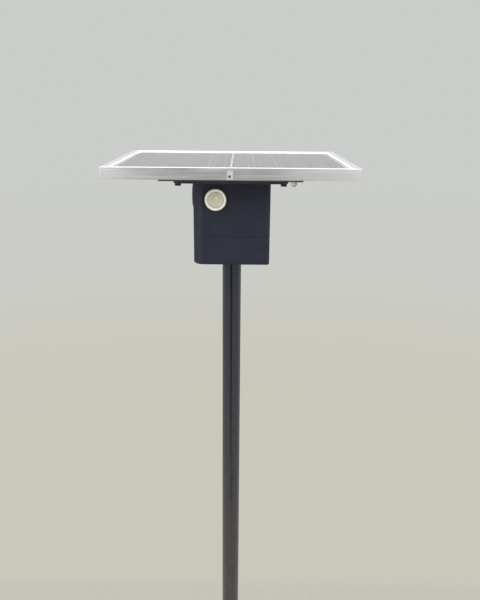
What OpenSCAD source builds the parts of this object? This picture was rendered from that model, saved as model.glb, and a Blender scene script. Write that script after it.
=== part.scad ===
// Solar street lamp: a framed solar panel lies flat on a slim steel pole, and a
// dark moulded case with three round lamps hangs under it around the pole.
// Millimetres, +Z up. The origin is on the pole's axis at the underside of the base.

/* [Pole and base] */
// Height of the panel's top edge above the ground
lamp_h = 1290; // [800:10:2400]
// Outside diameter of the pole
pole_d = 30; // [26:0.5:34]
// Wall of the pole tube
pole_wall = 1.5; // [1:0.1:2.5]
// Side of the square base plate
base_w = 180; // [140:5:300]
// Thickness of the base plate
base_t = 6; // [4:0.5:12]
// Corner radius of the base plate
base_r = 12; // [2:1:20]
// Distance between neighbouring anchor holes
anchor_gap = 140; // [100:5:240]
// Diameter of an anchor hole
anchor_d = 11; // [7:0.5:14]
// Height of a gusset rib
gusset_h = 60; // [30:5:120]
// Length of a gusset rib along the base
gusset_l = 50; // [25:5:60]
// Thickness of a gusset rib
gusset_t = 4; // [3:0.5:8]
// Flange of the plastic plug in the top of the pole
cap_t = 1.5; // [1:0.5:4]
// Depth that the plug reaches into the pole
cap_depth = 14; // [8:1:30]
// Wall of the plug
cap_wall = 2; // [1:0.5:3]

/* [Solar panel] */
// Width of the panel, left to right
panel_w = 350; // [320:5:520]
// Depth of the panel, front to back
panel_d = 290; // [240:5:420]
// Height of the aluminium frame
frame_h = 16; // [15:0.5:35]
// Wall of the frame extrusion
frame_wall = 1.5; // [1:0.1:2]
// Width of the frame's top lip, and of the closed chamber under it
frame_lip = 10; // [9:0.5:14]
// Thickness of the frame's ledge and of the chamber's inner wall
ledge_t = 1.2; // [0.8:0.1:1.6]
// Width of the frame's bottom flange
frame_flange = 24; // [22:1:30]
// Thickness of the cover glass
glass_t = 3.2; // [2:0.1:4]
// Thickness of the cell layer
cell_t = 0.4; // [0.2:0.1:0.8]
// Thickness of the white backing sheet
backsheet_t = 0.6; // [0.3:0.1:1]
// Gap between the glass edge and the frame wall
glass_gap = 1; // [0.5:0.1:2]
// White margin from the panel's outer edge to the cells
cell_margin = 17; // [14:0.5:30]
// Columns of cells in each half of the panel
cell_cols = 5; // [2:1:8]
// Rows of cells, front to back
cell_rows = 5; // [2:1:8]
// Gap between neighbouring cells
cell_gap = 1; // [0.5:0.1:3]
// Gap between the two halves
half_gap = 3; // [1:0.5:10]
// Length of a corner key's leg
key_l = 26; // [20:1:40]
// Drain hole in the frame's front wall
drain_d = 3.6; // [2:0.1:5]
// Distance of the drain hole left of the middle
drain_x = 1.5; // [0:0.5:40]
// Height of the drain hole above the frame's underside
drain_h = 4.5; // [3.5:0.5:5]

/* [Bracket] */
// Width of the carrier plate under the frame
plate_w = 194; // [184:2:230]
// Thickness of the carrier plate
plate_t = 2; // [1.5:0.5:4]
// Length of a strap bar
strap_l = 156; // [150:2:170]
// Width of a strap bar
strap_w = 16; // [12:1:20]
// Thickness of a strap bar
strap_t = 4; // [3:0.5:6]
// Distance between the two bolts of a strap bar
strap_bolt_gap = 144; // [132:2:146]
// Distance of the frame bolts from the panel's edge
bolt_inset = 16; // [15.5:0.5:18]
// Sideways place of the earth bolt
earth_x = 86; // [80:1:90]
// Length of the pole socket under the carrier plate
socket_l = 48; // [40:1:52]
// Wall of the pole socket
socket_wall = 4; // [3:0.5:4.5]
// Number of clamp screws round the socket
clamp_count = 3; // [2:1:4]
// Height of the clamp screws above the socket's lower end
clamp_h = 14; // [8:1:20]

/* [Case] */
// Width of the case, left to right
case_w = 116.5; // [112:0.5:140]
// Depth of the case, front to back
case_d = 106; // [104:1:130]
// Height of the case with its lower cover
case_h = 138; // [135:1:175]
// Height of the lower cover
cover_h = 44; // [30:0.5:50]
// Wall of the case
case_wall = 3; // [2.8:0.1:3.5]
// Radius of the two upright edges at the left end
nose_r = 16; // [8:1:16]
// Radius of the two upright edges at the right end
back_r = 5; // [4:0.5:12]
// Open line between the case and its cover
seam_gap = 0.5; // [0.4:0.1:1.2]
// Height of the tongue on the cover's rim
tongue_h = 4; // [3:0.5:6]
// Thickness of the tongue
tongue_t = 1.2; // [1:0.1:1.4]
// Thickness of the case gasket
case_gasket_t = 1; // [0.6:0.1:1.5]

/* [Lamps] */
// Diameter of a lamp's rim
lamp_d = 32.5; // [31.5:0.1:34]
// How far a rim stands out of the case
lamp_stand = 3.3; // [2.5:0.1:5]
// Diameter of a lamp's threaded barrel
barrel_d = 26.4; // [25:0.1:27]
// Wall of the barrel
barrel_wall = 1.3; // [1:0.1:1.6]
// Length of the barrel behind the case's face
barrel_l = 16; // [14:0.5:17]
// Height of the lamps' middle below the carrier plate
lamp_drop = 38; // [32:0.5:38]
// Sideways place of the front and rear lamps, left of the pole
lamp_offset = 24; // [22:0.5:25]
// Diameter of the rubber collar round a rim
collar_d = 36; // [35:0.1:38]
// Thickness of the rubber ring behind a rim
lamp_gasket_t = 0.8; // [0.5:0.1:1.2]
// Thickness of a lamp's ring nut
lamp_nut_t = 4; // [3:0.5:6]
// Depth of the lens edge
lens_edge = 1.2; // [1:0.1:2]
// Depth of the reflector cup
cup_depth = 13; // [10:0.5:13]
// Thickness of the round lamp board
led_board_t = 1.5; // [1:0.1:2]
// Length of the heat sink behind the board
sink_l = 4.5; // [3:0.5:5]

/* [Battery and electronics] */
// Diameter of a battery cell
cell_d = 26.2; // [18.3:0.1:26.5]
// Length of a battery cell
cell_l = 65.4; // [60:0.1:66]
// Sideways place of the cells from the pole's axis
cell_x = 33; // [32:0.5:36]
// Distance between two cells side by side
cell_pitch = 28; // [27:0.5:34]
// Thickness of the two cell plates
cell_plate_t = 4; // [3:0.5:5]
// Depth of the cup that holds a cell's end
cell_cup = 2; // [1.5:0.5:2.5]
// Sideways place of the tie rods
rod_x = 47; // [46:0.5:48]
// Front-to-back place of the tie rods
rod_y = 43; // [42:0.5:44]
// Width of the controller board
board_w = 46; // [40:1:46]
// Height of the controller board
board_h = 42; // [36:1:42]
// Thickness of the controller board
board_t = 1.6; // [1:0.2:2]
// Length of the pillars that carry the controller board
pillar_l = 4.4; // [3:0.2:6]
// Diameter of the lead from the panel
lead_d = 4.6; // [4:0.1:5]
// Height of the cable gland below the carrier plate
gland_drop = 12; // [10:0.5:14]
// Front-to-back place of the cable gland
gland_y = 25; // [20:1:28]
// Width of the junction box
jbox_w = 38; // [30:1:40]
// Depth of the junction box
jbox_d = 50; // [40:1:60]
// Wall of the junction box
jbox_wall = 2; // [1.5:0.5:3]

/* [Switch and cover] */
// Diameter of the switch barrel
switch_d = 12; // [10:0.5:14]
// Length of the switch barrel behind the case's face
switch_l = 22; // [18:1:22]
// Diameter of the push button
button_d = 8; // [6:0.5:9]
// How far the button stands out of its flange
button_stand = 4; // [3:0.5:6]
// Travel of the button
button_travel = 2; // [1:0.5:3]
// Height of the switch above the case's underside
switch_h = 64; // [61:1:66]
// Front-to-back place of the two cover screws
cover_screw_y = 42; // [40:0.5:43]
// Radius of the pole seal's two flanges
seal_r = 21; // [19.5:0.5:24]

/* [Hidden] */
$fn = 64;

// Clearances
run_gap = 0.05;      // round running and screwed fits, on the radius
slide_gap = 0.3;     // between pieces that move past each other
seat_gap = 0.1;      // pressed and dropped-in seats
eps = 0.5;           // how far a cut runs past the face it opens, and a joint runs into its neighbour

// Hexagon fasteners: thread diameter, width across flats, head height, nut height
M3 = [3, 5.5, 2, 2.4];
M4 = [4, 7, 2.8, 3.2];
M5 = [5, 8, 3.5, 4.7];
M6 = [6, 10, 4, 5];
bolt_over = 1;       // thread that stands past a nut
head_share = 1.8;    // radius of a round head over the radius of its thread
washer_t = 1.2;
earth_over = 2;      // thread below the earth bolt's nut
clamp_stand = 3;     // how far a clamp screw's head stays off the socket

// Heights
frame_z = lamp_h - frame_h;
plate_z = frame_z - plate_t;
case_z = plate_z - case_h;
seam_z = case_z + cover_h;
laminate_z = lamp_h - frame_wall - glass_t - cell_t - backsheet_t;
pole_top = plate_z - slide_gap / 2 - cap_t;
socket_z = plate_z - socket_l;
clamp_z = socket_z + clamp_h;
lamp_z = plate_z - lamp_drop;

// Pole
pole_r = pole_d / 2;
socket_bore = pole_r + run_gap;
socket_r = socket_bore + socket_wall;

// Cells of the panel
cell_w = ((panel_w - half_gap) / 2 - cell_margin - (cell_cols - 1) * cell_gap) / cell_cols;
cell_len = (panel_d - 2 * cell_margin - (cell_rows - 1) * cell_gap) / cell_rows;

// Frame bolts, measured from the pole's axis
bolt_y = panel_d / 2 - bolt_inset;
bolt_x = strap_bolt_gap / 2;

// Case and cover
roof_t = 3;
floor_t = 3;
rebate = tongue_t + slide_gap;
shell_z = seam_z + seam_gap / 2;
rim_z = seam_z - seam_gap / 2;
tongue_z = rim_z + tongue_h;
gasket_z = tongue_z + slide_gap;
rebate_z = gasket_z + case_gasket_t;

// Battery stack, worked down from the upper plate, which clears the lamps' nuts
nut_r = (lamp_d - 0.5) / 2;
nut_room = 2.3;
upper_plate_z = lamp_z - nut_r - nut_room - cell_plate_t;
cells_z = upper_plate_z + cell_cup - cell_l;
lower_plate_z = cells_z - cell_plate_t + cell_cup;
plate_inset = case_wall + 1;
pole_room = 1;
cell_post_r = 6;
rod_r = M4[0] / 2 - run_gap;
wire_hole_r = 3;
riser_y = socket_r + 8;

// Lamps: name, turn about Z from the front face, and place of the middle of each rim
LAMPS = ["front", "left", "rear"];
lamp_turn = [0, -90, 180];
lamp_pos = [[-lamp_offset, -case_d / 2], [-case_w / 2, 0], [-lamp_offset, case_d / 2]];
barrel_r = barrel_d / 2;
bore_r = barrel_r - barrel_wall;
rim_r = lamp_d / 2;
rim_edge = 1.2;
mouth_r = bore_r - 1;
lens_step = 0.5;
lens_rise = 0.9;
lens_z = lamp_stand - lens_edge - lens_rise;
led_z = lens_z - cup_depth;

// Panel lead: level out of the junction box, a gentle S, level into the gland
lead_r = lead_d / 2;
lead_top_z = plate_z - lead_r - slide_gap;
gland_z = plate_z - gland_drop;
jbox_x = plate_w / 2 + 14;
jbox_gland_l = 8;
jbox_hole_r = lead_r + 1;
jbox_hole_edge = 1.2;
jbox_low = lead_top_z - jbox_hole_r - jbox_hole_edge - jbox_wall;
lead_tail = 4;
gland_l = 20;
gland_af = 14;
gland_thread_r = 6;
gland_flange_t = 4;
gland_nut_t = 4;
lead_x1 = jbox_x - jbox_gland_l;
lead_x2 = case_w / 2 + gland_l;
lead_dx = lead_x1 - lead_x2;
lead_dz = lead_top_z - gland_z;
lead_bend = (lead_dx * lead_dx + lead_dz * lead_dz) / (4 * lead_dz);
lead_turn = asin(lead_dx / 2 / lead_bend);
inner_bend = 10;
lead_steps = 6;
lead_sides = 12;

// Controller board, upright on the case's rear wall
board_x = 19;
board_y = case_d / 2 - case_wall - pillar_l - board_t;
strip_d = 8;
strip_h = 9;
strip_z = gland_z - 5;
board_z = strip_z + strip_h - board_h;
pillar_inset = 4;
pillar_r = 3;
pillar_dx = board_w / 2 - pillar_inset;
pillar_dz = board_h / 2 - pillar_inset;
strip_face_y = board_y - strip_d;
strip_x = 4.6;
lead_port_x = 30;
port_x = [7, 11, 15, 19, 23.5];
wire_r = 1;
elbow_share = 1.1;

// Switch, on the case's rear wall
switch_z = case_z + switch_h;
switch_y = case_d / 2;
switch_r = switch_d / 2;
flange_r = switch_r + 2;
flange_t = 2;
button_r = button_d / 2;
button_root = 5;
button_l = button_stand + flange_t + button_root;
switch_nut_t = 3;
switch_nut_af = switch_d + 3;

// Cover screws
boss_r = 5;
cover_boss_h = 8;
head_room = 3.2;
head_well_r = 4;
plate_boss_h = 8;
screw_short = 3;
cover_screw_l = lower_plate_z + cell_plate_t + plate_boss_h - case_z - head_room - screw_short;
cover_hole_r = pole_r + 3;

// Paints and finishes
GLOSS_BLACK = [0.05, 0.05, 0.055];
DARK_STEEL = [0.16, 0.16, 0.18];
ALUMINIUM = [0.78, 0.78, 0.78];
ZINC = [0.7, 0.7, 0.68];
BRASS = [0.8, 0.65, 0.35];
NAVY = [0.17, 0.18, 0.23];
RUBBER = [0.08, 0.08, 0.08];
CREAM = [0.85, 0.83, 0.78];
GREEN = [0.1, 0.4, 0.2];

// ---------------------------------------------------------------- shared shapes

module ring(outer, inner, height) {
    difference() {
        cylinder(r = outer, h = height);
        translate([0, 0, -eps]) cylinder(r = inner, h = height + 2 * eps);
    }
}

// Hexagonal prism with flats across X, given the width across flats
module hex(flats, height) {
    rotate([0, 0, 30]) cylinder(r = flats / sqrt(3), h = height, $fn = 6);
}

// Hexagon bolt: the head hangs below z = 0 and the thread rises from it
module hex_bolt(size, length) {
    union() {
        translate([0, 0, -size[2]]) hex(size[1], size[2]);
        translate([0, 0, -eps]) cylinder(r = size[0] / 2 - run_gap, h = length + eps);
    }
}

module hex_nut(size) {
    difference() {
        hex(size[1], size[3]);
        translate([0, 0, -eps]) cylinder(r = size[0] / 2, h = size[3] + 2 * eps);
    }
}

// Round-headed screw: the head hangs below z = 0 and the thread rises from it
module round_screw(size, length) {
    head = size[0] / 2 * head_share;
    cross_slot = [head * 1.3, 0.8, 2];
    union() {
        translate([0, 0, -size[2]]) difference() {
            cylinder(r = head, h = size[2]);
            for (a = [0, 90]) rotate([0, 0, a]) cube(cross_slot, center = true);
        }
        translate([0, 0, -eps]) cylinder(r = size[0] / 2 - run_gap, h = length + eps);
    }
}

// Children at the four corners of a rectangle
module at_corners(dx, dy) {
    for (sx = [-1, 1], sy = [-1, 1]) translate([sx * dx, sy * dy, 0]) children();
}

module rounded_square(side, r) {
    union() {
        square([side, side - 2 * r], center = true);
        square([side - 2 * r, side], center = true);
        at_corners(side / 2 - r, side / 2 - r) circle(r);
    }
}

// Plan of the case, drawn in from its outside by inset
module case_plan(inset) {
    w = case_w / 2 - inset;
    d = case_d / 2 - inset;
    rn = nose_r - inset;
    rb = max(back_r - inset, 0.5);
    union() {
        translate([-w + rn, -d]) square([2 * w - rn - rb, 2 * d]);
        translate([-w, -d + rn]) square([rn + eps, 2 * (d - rn)]);
        translate([w - rb - eps, -d + rb]) square([rb + eps, 2 * (d - rb)]);
        for (s = [-1, 1]) {
            translate([-w + rn, s * (d - rn)]) circle(rn);
            translate([w - rb, s * (d - rb)]) circle(rb);
        }
    }
}

module case_prism(low, high, inset) {
    translate([0, 0, low]) linear_extrude(high - low) case_plan(inset);
}

// ---------------------------------------------------------------- pole and base

module base_plate() {
    color(GLOSS_BLACK) difference() {
        linear_extrude(base_t) rounded_square(base_w, base_r);
        translate([0, 0, -eps])
            at_corners(anchor_gap / 2, anchor_gap / 2) cylinder(r = anchor_d / 2, h = base_t + 2 * eps);
    }
}

// Ribs between the pole and the base, one to each side; they start inside the tube's
// outside, which then cuts them to a true fit
module gussets() {
    toe = 8;
    root = pole_r - 1;
    color(GLOSS_BLACK) for (a = [0:90:270]) rotate([0, 0, a]) difference() {
        translate([0, gusset_t / 2, base_t]) rotate([90, 0, 0]) linear_extrude(gusset_t)
            polygon([[root, 0], [pole_r + gusset_l, 0], [pole_r + gusset_l, toe],
                [pole_r + toe, gusset_h], [root, gusset_h]]);
        cylinder(r = pole_r, h = 2 * gusset_h);
    }
}

module pole_tube() {
    color(GLOSS_BLACK) translate([0, 0, base_t])
        ring(pole_r, pole_r - pole_wall, pole_top - base_t);
}

// Plug that closes the tube; its flange is the washer the head turns on
module pole_cap() {
    plug_r = pole_r - pole_wall - run_gap;
    color(RUBBER) translate([0, 0, pole_top]) {
        cylinder(r = pole_r - slide_gap, h = cap_t);
        translate([0, 0, -cap_depth]) ring(plug_r, plug_r - cap_wall, cap_depth);
    }
}

// ---------------------------------------------------------------- bracket

module pole_socket() {
    color(DARK_STEEL) difference() {
        translate([0, 0, socket_z]) ring(socket_r, socket_bore, socket_l);
        at_clamps() translate([0, 0, -pole_wall]) cylinder(r = M6[0] / 2, h = socket_wall + 2 * pole_wall);
    }
}

// Children on each clamp screw's axis, +Z outwards, at the socket's bore
module at_clamps() {
    for (i = [0:clamp_count - 1]) rotate([0, 0, i * 360 / clamp_count])
        translate([socket_bore, 0, clamp_z]) rotate([0, 90, 0]) children();
}

module clamp_screws() {
    shank = socket_wall + clamp_stand;
    color(ZINC) at_clamps() translate([0, 0, shank]) mirror([0, 0, 1]) hex_bolt(M6, shank - run_gap);
}

module carrier_plate() {
    color(DARK_STEEL) difference() {
        translate([-plate_w / 2, -panel_d / 2, plate_z]) cube([plate_w, panel_d, plate_t]);
        translate([0, 0, plate_z - eps]) {
            at_corners(bolt_x, bolt_y) cylinder(r = M5[0] / 2 + seat_gap, h = plate_t + 2 * eps);
            at_corners(rod_x, rod_y) cylinder(r = M4[0] / 2 + seat_gap, h = plate_t + 2 * eps);
            translate([earth_x, -bolt_y]) cylinder(r = M5[0] / 2 + seat_gap, h = plate_t + 2 * eps);
        }
    }
}

// Flat bar with round ends under the carrier plate; side is -1 at the front, 1 at the rear
module strap(side) {
    reach = strap_l / 2 - strap_w / 2;
    color(DARK_STEEL) translate([0, side * bolt_y, plate_z - strap_t]) difference() {
        linear_extrude(strap_t) union() {
            square([2 * reach, strap_w], center = true);
            for (s = [-1, 1]) translate([s * reach, 0]) circle(strap_w / 2);
        }
        for (s = [-1, 1]) translate([s * bolt_x, 0, -eps])
            cylinder(r = M5[0] / 2 + seat_gap, h = strap_t + 2 * eps);
    }
}

module frame_bolts() {
    stack = strap_t + plate_t + frame_wall + M5[3] + bolt_over;
    color(DARK_STEEL) translate([0, 0, plate_z - strap_t]) at_corners(bolt_x, bolt_y) hex_bolt(M5, stack);
}

module frame_nuts() {
    color(ZINC) translate([0, 0, frame_z + frame_wall]) at_corners(bolt_x, bolt_y) hex_nut(M5);
}

// The earth bolt joins the frame to the carrier plate beside the front strap
module at_earth(z) {
    translate([earth_x, -bolt_y, z]) children();
}

// Head inside the frame, and enough thread below the nut to take the earth wire's eye
module earth_bolt() {
    stack = frame_wall + plate_t + washer_t + M5[3] + earth_over;
    color(BRASS) at_earth(frame_z + frame_wall) rotate([180, 0, 0]) hex_bolt(M5, stack);
}

// Toothed lock washer between the carrier plate and the earth bolt's nut
module earth_washer() {
    teeth = 12;
    notch = 1;
    rim = M5[1] / 2 + notch;
    color(ZINC) at_earth(plate_z - washer_t) difference() {
        ring(rim, M5[0] / 2, washer_t);
        for (i = [0:teeth - 1]) rotate([0, 0, i * 360 / teeth]) translate([rim, 0, -eps])
            rotate([0, 0, 45]) cube([notch, notch, 2 * (washer_t + 2 * eps)], center = true);
    }
}

module earth_nut() {
    color(ZINC) at_earth(plate_z - washer_t - M5[3]) hex_nut(M5);
}

// ---------------------------------------------------------------- solar panel

// Section of the frame: u runs inwards from the outer face, v up from the underside
module frame_section() {
    ledge_v = laminate_z - frame_z;
    union() {
        square([frame_wall, frame_h]);
        translate([0, frame_h - frame_wall]) square([frame_lip, frame_wall]);
        translate([0, ledge_v - ledge_t]) square([frame_lip, ledge_t]);
        translate([frame_lip - ledge_t, 0]) square([ledge_t, ledge_v]);
        square([frame_flange, frame_wall]);
    }
}

// Mitred bar of the given length along X, with its outer face at y = -back / 2
module frame_bar(length, back) {
    f = frame_flange;
    color(ALUMINIUM) translate([0, -back / 2, frame_z]) intersection() {
        rotate([90, 0, 90]) linear_extrude(length, center = true) frame_section();
        linear_extrude(frame_h)
            polygon([[-length / 2, 0], [length / 2, 0], [length / 2 - f, f], [f - length / 2, f]]);
    }
}

module flange_holes(xs) {
    for (x = xs) translate([x, -bolt_y, frame_z - eps])
        cylinder(r = M5[0] / 2 + seat_gap, h = frame_wall + 2 * eps);
}

module frame_front() {
    difference() {
        frame_bar(panel_w, panel_d);
        flange_holes([-bolt_x, bolt_x, earth_x]);
        translate([-drain_x, eps - panel_d / 2 + frame_wall, frame_z + drain_h])
            rotate([90, 0, 0]) cylinder(r = drain_d / 2, h = frame_wall + 2 * eps);
    }
}

module frame_rear() {
    rotate([0, 0, 180]) difference() {
        frame_bar(panel_w, panel_d);
        flange_holes([-bolt_x, bolt_x]);
    }
}

module frame_left() {
    rotate([0, 0, -90]) frame_bar(panel_d, panel_w);
}

module frame_right() {
    rotate([0, 0, 90]) frame_bar(panel_d, panel_w);
}

// L-shaped keys pressed into the chambers where two bars meet
module corner_keys() {
    first = frame_wall + seat_gap;
    width = frame_lip - ledge_t - frame_wall - 2 * seat_gap;
    height = laminate_z - frame_z - ledge_t - frame_wall - 2 * seat_gap;
    color(ALUMINIUM) translate([0, 0, frame_z + frame_wall + seat_gap]) linear_extrude(height)
        for (sx = [0, 1], sy = [0, 1]) mirror([sx, 0]) mirror([0, sy])
            translate([first - panel_w / 2, first - panel_d / 2]) union() {
                square([key_l, width]);
                square([width, key_l]);
            }
}

// One full-size layer of the laminate, from the given height upwards
module laminate_layer(low, thickness) {
    edge = 2 * (frame_wall + glass_gap);
    translate([edge / 2 - panel_w / 2, edge / 2 - panel_d / 2, low])
        cube([panel_w - edge, panel_d - edge, thickness]);
}

module panel_glass() {
    color([0.8, 0.85, 0.88, 0.3]) laminate_layer(laminate_z + backsheet_t + cell_t, glass_t);
}

module backsheet() {
    color([0.95, 0.95, 0.95]) laminate_layer(laminate_z, backsheet_t);
}

module solar_cells() {
    color([0.35, 0.37, 0.42]) for (s = [0, 1], i = [0:cell_cols - 1], j = [0:cell_rows - 1])
        mirror([s, 0, 0]) translate([half_gap / 2 + i * (cell_w + cell_gap),
            cell_margin - panel_d / 2 + j * (cell_len + cell_gap), laminate_z + backsheet_t])
            cube([cell_w, cell_len, cell_t]);
}

// ---------------------------------------------------------------- junction box and lead

module junction_box() {
    depth = laminate_z - jbox_low - jbox_wall;
    color(RUBBER) translate([jbox_x, gland_y - jbox_d / 2, jbox_low + jbox_wall]) difference() {
        cube([jbox_w, jbox_d, depth]);
        translate([jbox_wall, jbox_wall, -eps])
            cube([jbox_w - 2 * jbox_wall, jbox_d - 2 * jbox_wall, depth - jbox_wall + eps]);
        translate([-eps, jbox_d / 2, lead_top_z - jbox_low - jbox_wall])
            rotate([0, 90, 0]) cylinder(r = jbox_hole_r, h = jbox_wall + 2 * eps);
    }
}

// Lid with a rim that drops into the junction box
module junction_lid() {
    rim = jbox_wall + seat_gap;
    rim_h = 1.5;
    hollow = rim + 1.5;
    notch = lead_r + 2;
    color(RUBBER) translate([jbox_x, gland_y - jbox_d / 2, jbox_low]) difference() {
        union() {
            cube([jbox_w, jbox_d, jbox_wall]);
            translate([rim, rim, 0]) cube([jbox_w - 2 * rim, jbox_d - 2 * rim, jbox_wall + rim_h]);
        }
        translate([hollow, hollow, jbox_wall])
            cube([jbox_w - 2 * hollow, jbox_d - 2 * hollow, rim_h + eps]);
        translate([0, jbox_d / 2 - notch, jbox_wall]) cube([jbox_w / 2, 2 * notch, rim_h + eps]);
    }
}

// Sleeve that grips the lead where it leaves the junction box
module junction_gland() {
    neck = jbox_hole_r - seat_gap;
    root = lead_r + 2.5;
    tip = lead_r + 1.4;
    color(RUBBER) translate([jbox_x, gland_y, lead_top_z]) rotate([0, -90, 0]) difference() {
        rotate_extrude() polygon([[0, -jbox_wall], [neck, -jbox_wall], [neck, 0], [root, 0],
            [tip, jbox_gland_l], [0, jbox_gland_l]]);
        translate([0, 0, -jbox_wall - eps])
            cylinder(r = lead_r + run_gap, h = jbox_gland_l + jbox_wall + 2 * eps);
    }
}

// The lead's route: level out of the junction box, down and level again by two arcs in
// the XZ plane, through the gland, and round one level arc to the terminals
function lead_angle(from, to, k) = from + (to - from) * k / lead_steps;
function arc_xz(cx, cz, bend, from, to) = [for (k = [0:lead_steps])
    [cx + bend * cos(lead_angle(from, to, k)), gland_y, cz + bend * sin(lead_angle(from, to, k))]];
function arc_xy(cx, cy, bend, from, to) = [for (k = [0:lead_steps])
    [cx + bend * cos(lead_angle(from, to, k)), cy + bend * sin(lead_angle(from, to, k)), gland_z]];
function lead_route() = concat([[jbox_x + jbox_wall + lead_tail, gland_y, lead_top_z]],
    arc_xz(lead_x1, lead_top_z - lead_bend, lead_bend, 90, 90 + lead_turn),
    arc_xz(lead_x2, gland_z + lead_bend, lead_bend, 270 + lead_turn * (1 - 1 / lead_steps), 270),
    arc_xy(lead_port_x + inner_bend, gland_y + inner_bend, inner_bend, 270, 180),
    [[lead_port_x, strip_face_y, gland_z]]);

// Unit vector, and the ring of points round the route's point p with tangent t
function unit(v) = v / norm(v);
function lead_ring(p, t) = let (side = unit(cross([0, 0, 1], t)), up = cross(t, side))
    [for (k = [0:lead_sides - 1]) let (a = k * 360 / lead_sides) p + lead_r * (cos(a) * side + sin(a) * up)];

module panel_lead() {
    route = lead_route();
    last = len(route) - 1;
    tangents = [for (i = [0:last]) unit(route[min(i + 1, last)] - route[max(i - 1, 0)])];
    rings = [for (i = [0:last]) lead_ring(route[i], tangents[i])];
    points = [for (r = rings) each r];
    skin = [for (i = [0:last - 1], k = [0:lead_sides - 1])
        let (n = (k + 1) % lead_sides, a = i * lead_sides, b = a + lead_sides) [a + k, b + k, b + n, a + n]];
    ends = [[for (k = [0:lead_sides - 1]) k], [for (k = [lead_sides - 1:-1:0]) last * lead_sides + k]];
    color(RUBBER) polyhedron(points, concat(skin, ends));
}

// Gland body and dome nut, clamped in the case's right wall
module case_gland() {
    back = case_wall + gland_nut_t + bolt_over;
    dome_r = gland_thread_r + 0.6;
    dome_l = gland_l - gland_flange_t;
    taper_l = 5;
    tip_r = lead_r + 1.8;
    color(RUBBER) translate([case_w / 2, gland_y, gland_z]) rotate([0, 90, 0]) difference() {
        union() {
            translate([0, 0, -back]) cylinder(r = gland_thread_r - run_gap, h = back + eps);
            hex(gland_af, gland_flange_t);
            translate([0, 0, gland_flange_t]) rotate_extrude()
                polygon([[0, -eps], [dome_r, -eps], [dome_r, dome_l - taper_l],
                    [tip_r, dome_l], [0, dome_l]]);
        }
        translate([0, 0, -back - eps]) cylinder(r = lead_r + run_gap, h = gland_l + back + 2 * eps);
    }
}

module gland_nut() {
    color(RUBBER) translate([case_w / 2 - case_wall, gland_y, gland_z]) rotate([0, -90, 0]) difference() {
        hex(gland_af, gland_nut_t);
        translate([0, 0, -eps]) cylinder(r = gland_thread_r, h = gland_nut_t + 2 * eps);
    }
}

// ---------------------------------------------------------------- case

// Children at the four pillars of the controller board, +Z towards the front
module at_pillars() {
    for (sx = [-1, 1], sz = [-1, 1])
        translate([board_x + sx * pillar_dx, case_d / 2 - case_wall, board_z + board_h / 2 + sz * pillar_dz])
            rotate([90, 0, 0]) children();
}

module case_shell() {
    color(NAVY) difference() {
        union() {
            difference() {
                case_prism(shell_z, plate_z, 0);
                case_prism(shell_z - eps, plate_z - roof_t, case_wall);
            }
            at_pillars() translate([0, 0, -eps]) cylinder(r = pillar_r, h = pillar_l + eps);
        }
        case_prism(shell_z - eps, rebate_z, case_wall - rebate);
        for (i = [0:2]) lamp_at(i) translate([0, 0, -case_wall - eps])
            cylinder(r = barrel_r + seat_gap, h = case_wall + 2 * eps);
        translate([0, 0, plate_z - roof_t - eps]) {
            cylinder(r = socket_r + slide_gap, h = roof_t + 2 * eps);
            at_corners(rod_x, rod_y) cylinder(r = M4[0] / 2 + seat_gap, h = roof_t + 2 * eps);
        }
        translate([case_w / 2 - case_wall - eps, gland_y, gland_z]) rotate([0, 90, 0])
            cylinder(r = gland_thread_r + seat_gap, h = case_wall + 2 * eps);
        translate([0, switch_y + eps, switch_z]) rotate([90, 0, 0])
            cylinder(r = switch_r + seat_gap, h = case_wall + 2 * eps);
        at_pillars() cylinder(r = M3[0] / 2, h = pillar_l + eps);
    }
}

// Foam ring in the case's rim, over the cover's tongue
module case_gasket() {
    color(RUBBER) difference() {
        case_prism(gasket_z, rebate_z, case_wall - rebate + seat_gap);
        case_prism(gasket_z - eps, rebate_z + eps, case_wall - seat_gap);
    }
}

// Threaded rods that hang the case and the battery stack from the carrier plate
module tie_rods() {
    low = lower_plate_z - M4[3] - bolt_over / 2;
    high = plate_z + plate_t + M4[3] + bolt_over;
    color(ZINC) translate([0, 0, low]) at_corners(rod_x, rod_y) cylinder(r = rod_r, h = high - low);
}

module rod_nuts() {
    levels = [plate_z + plate_t, plate_z - roof_t - M4[3],
        upper_plate_z + cell_plate_t, lower_plate_z - M4[3]];
    color(ZINC) for (z = levels) translate([0, 0, z]) at_corners(rod_x, rod_y) hex_nut(M4);
}

// ---------------------------------------------------------------- lamps

// Children in a lamp's own frame: +Z out of the case, origin on the case's face
module lamp_at(i) {
    translate([lamp_pos[i][0], lamp_pos[i][1], lamp_z]) rotate([0, 0, lamp_turn[i]])
        rotate([90, 0, 0]) children();
}

// Rim and barrel in one moulding; the lens drops on to a step inside the rim
module lamp_bezel(i) {
    top = lamp_stand;
    seat_r = bore_r + lens_step;
    bevel = 0.3;
    shelf_z = lens_z - 1;
    thread_r = barrel_r - run_gap;
    color(CREAM) lamp_at(i) rotate_extrude()
        polygon([[mouth_r, lens_z], [seat_r, lens_z], [seat_r, top - bevel], [seat_r + bevel, top],
            [rim_r - rim_edge, top], [rim_r, top - rim_edge], [rim_r, lamp_gasket_t],
            [thread_r, lamp_gasket_t], [thread_r, -barrel_l], [bore_r, -barrel_l],
            [bore_r, shelf_z], [mouth_r, shelf_z]]);
}

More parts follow.
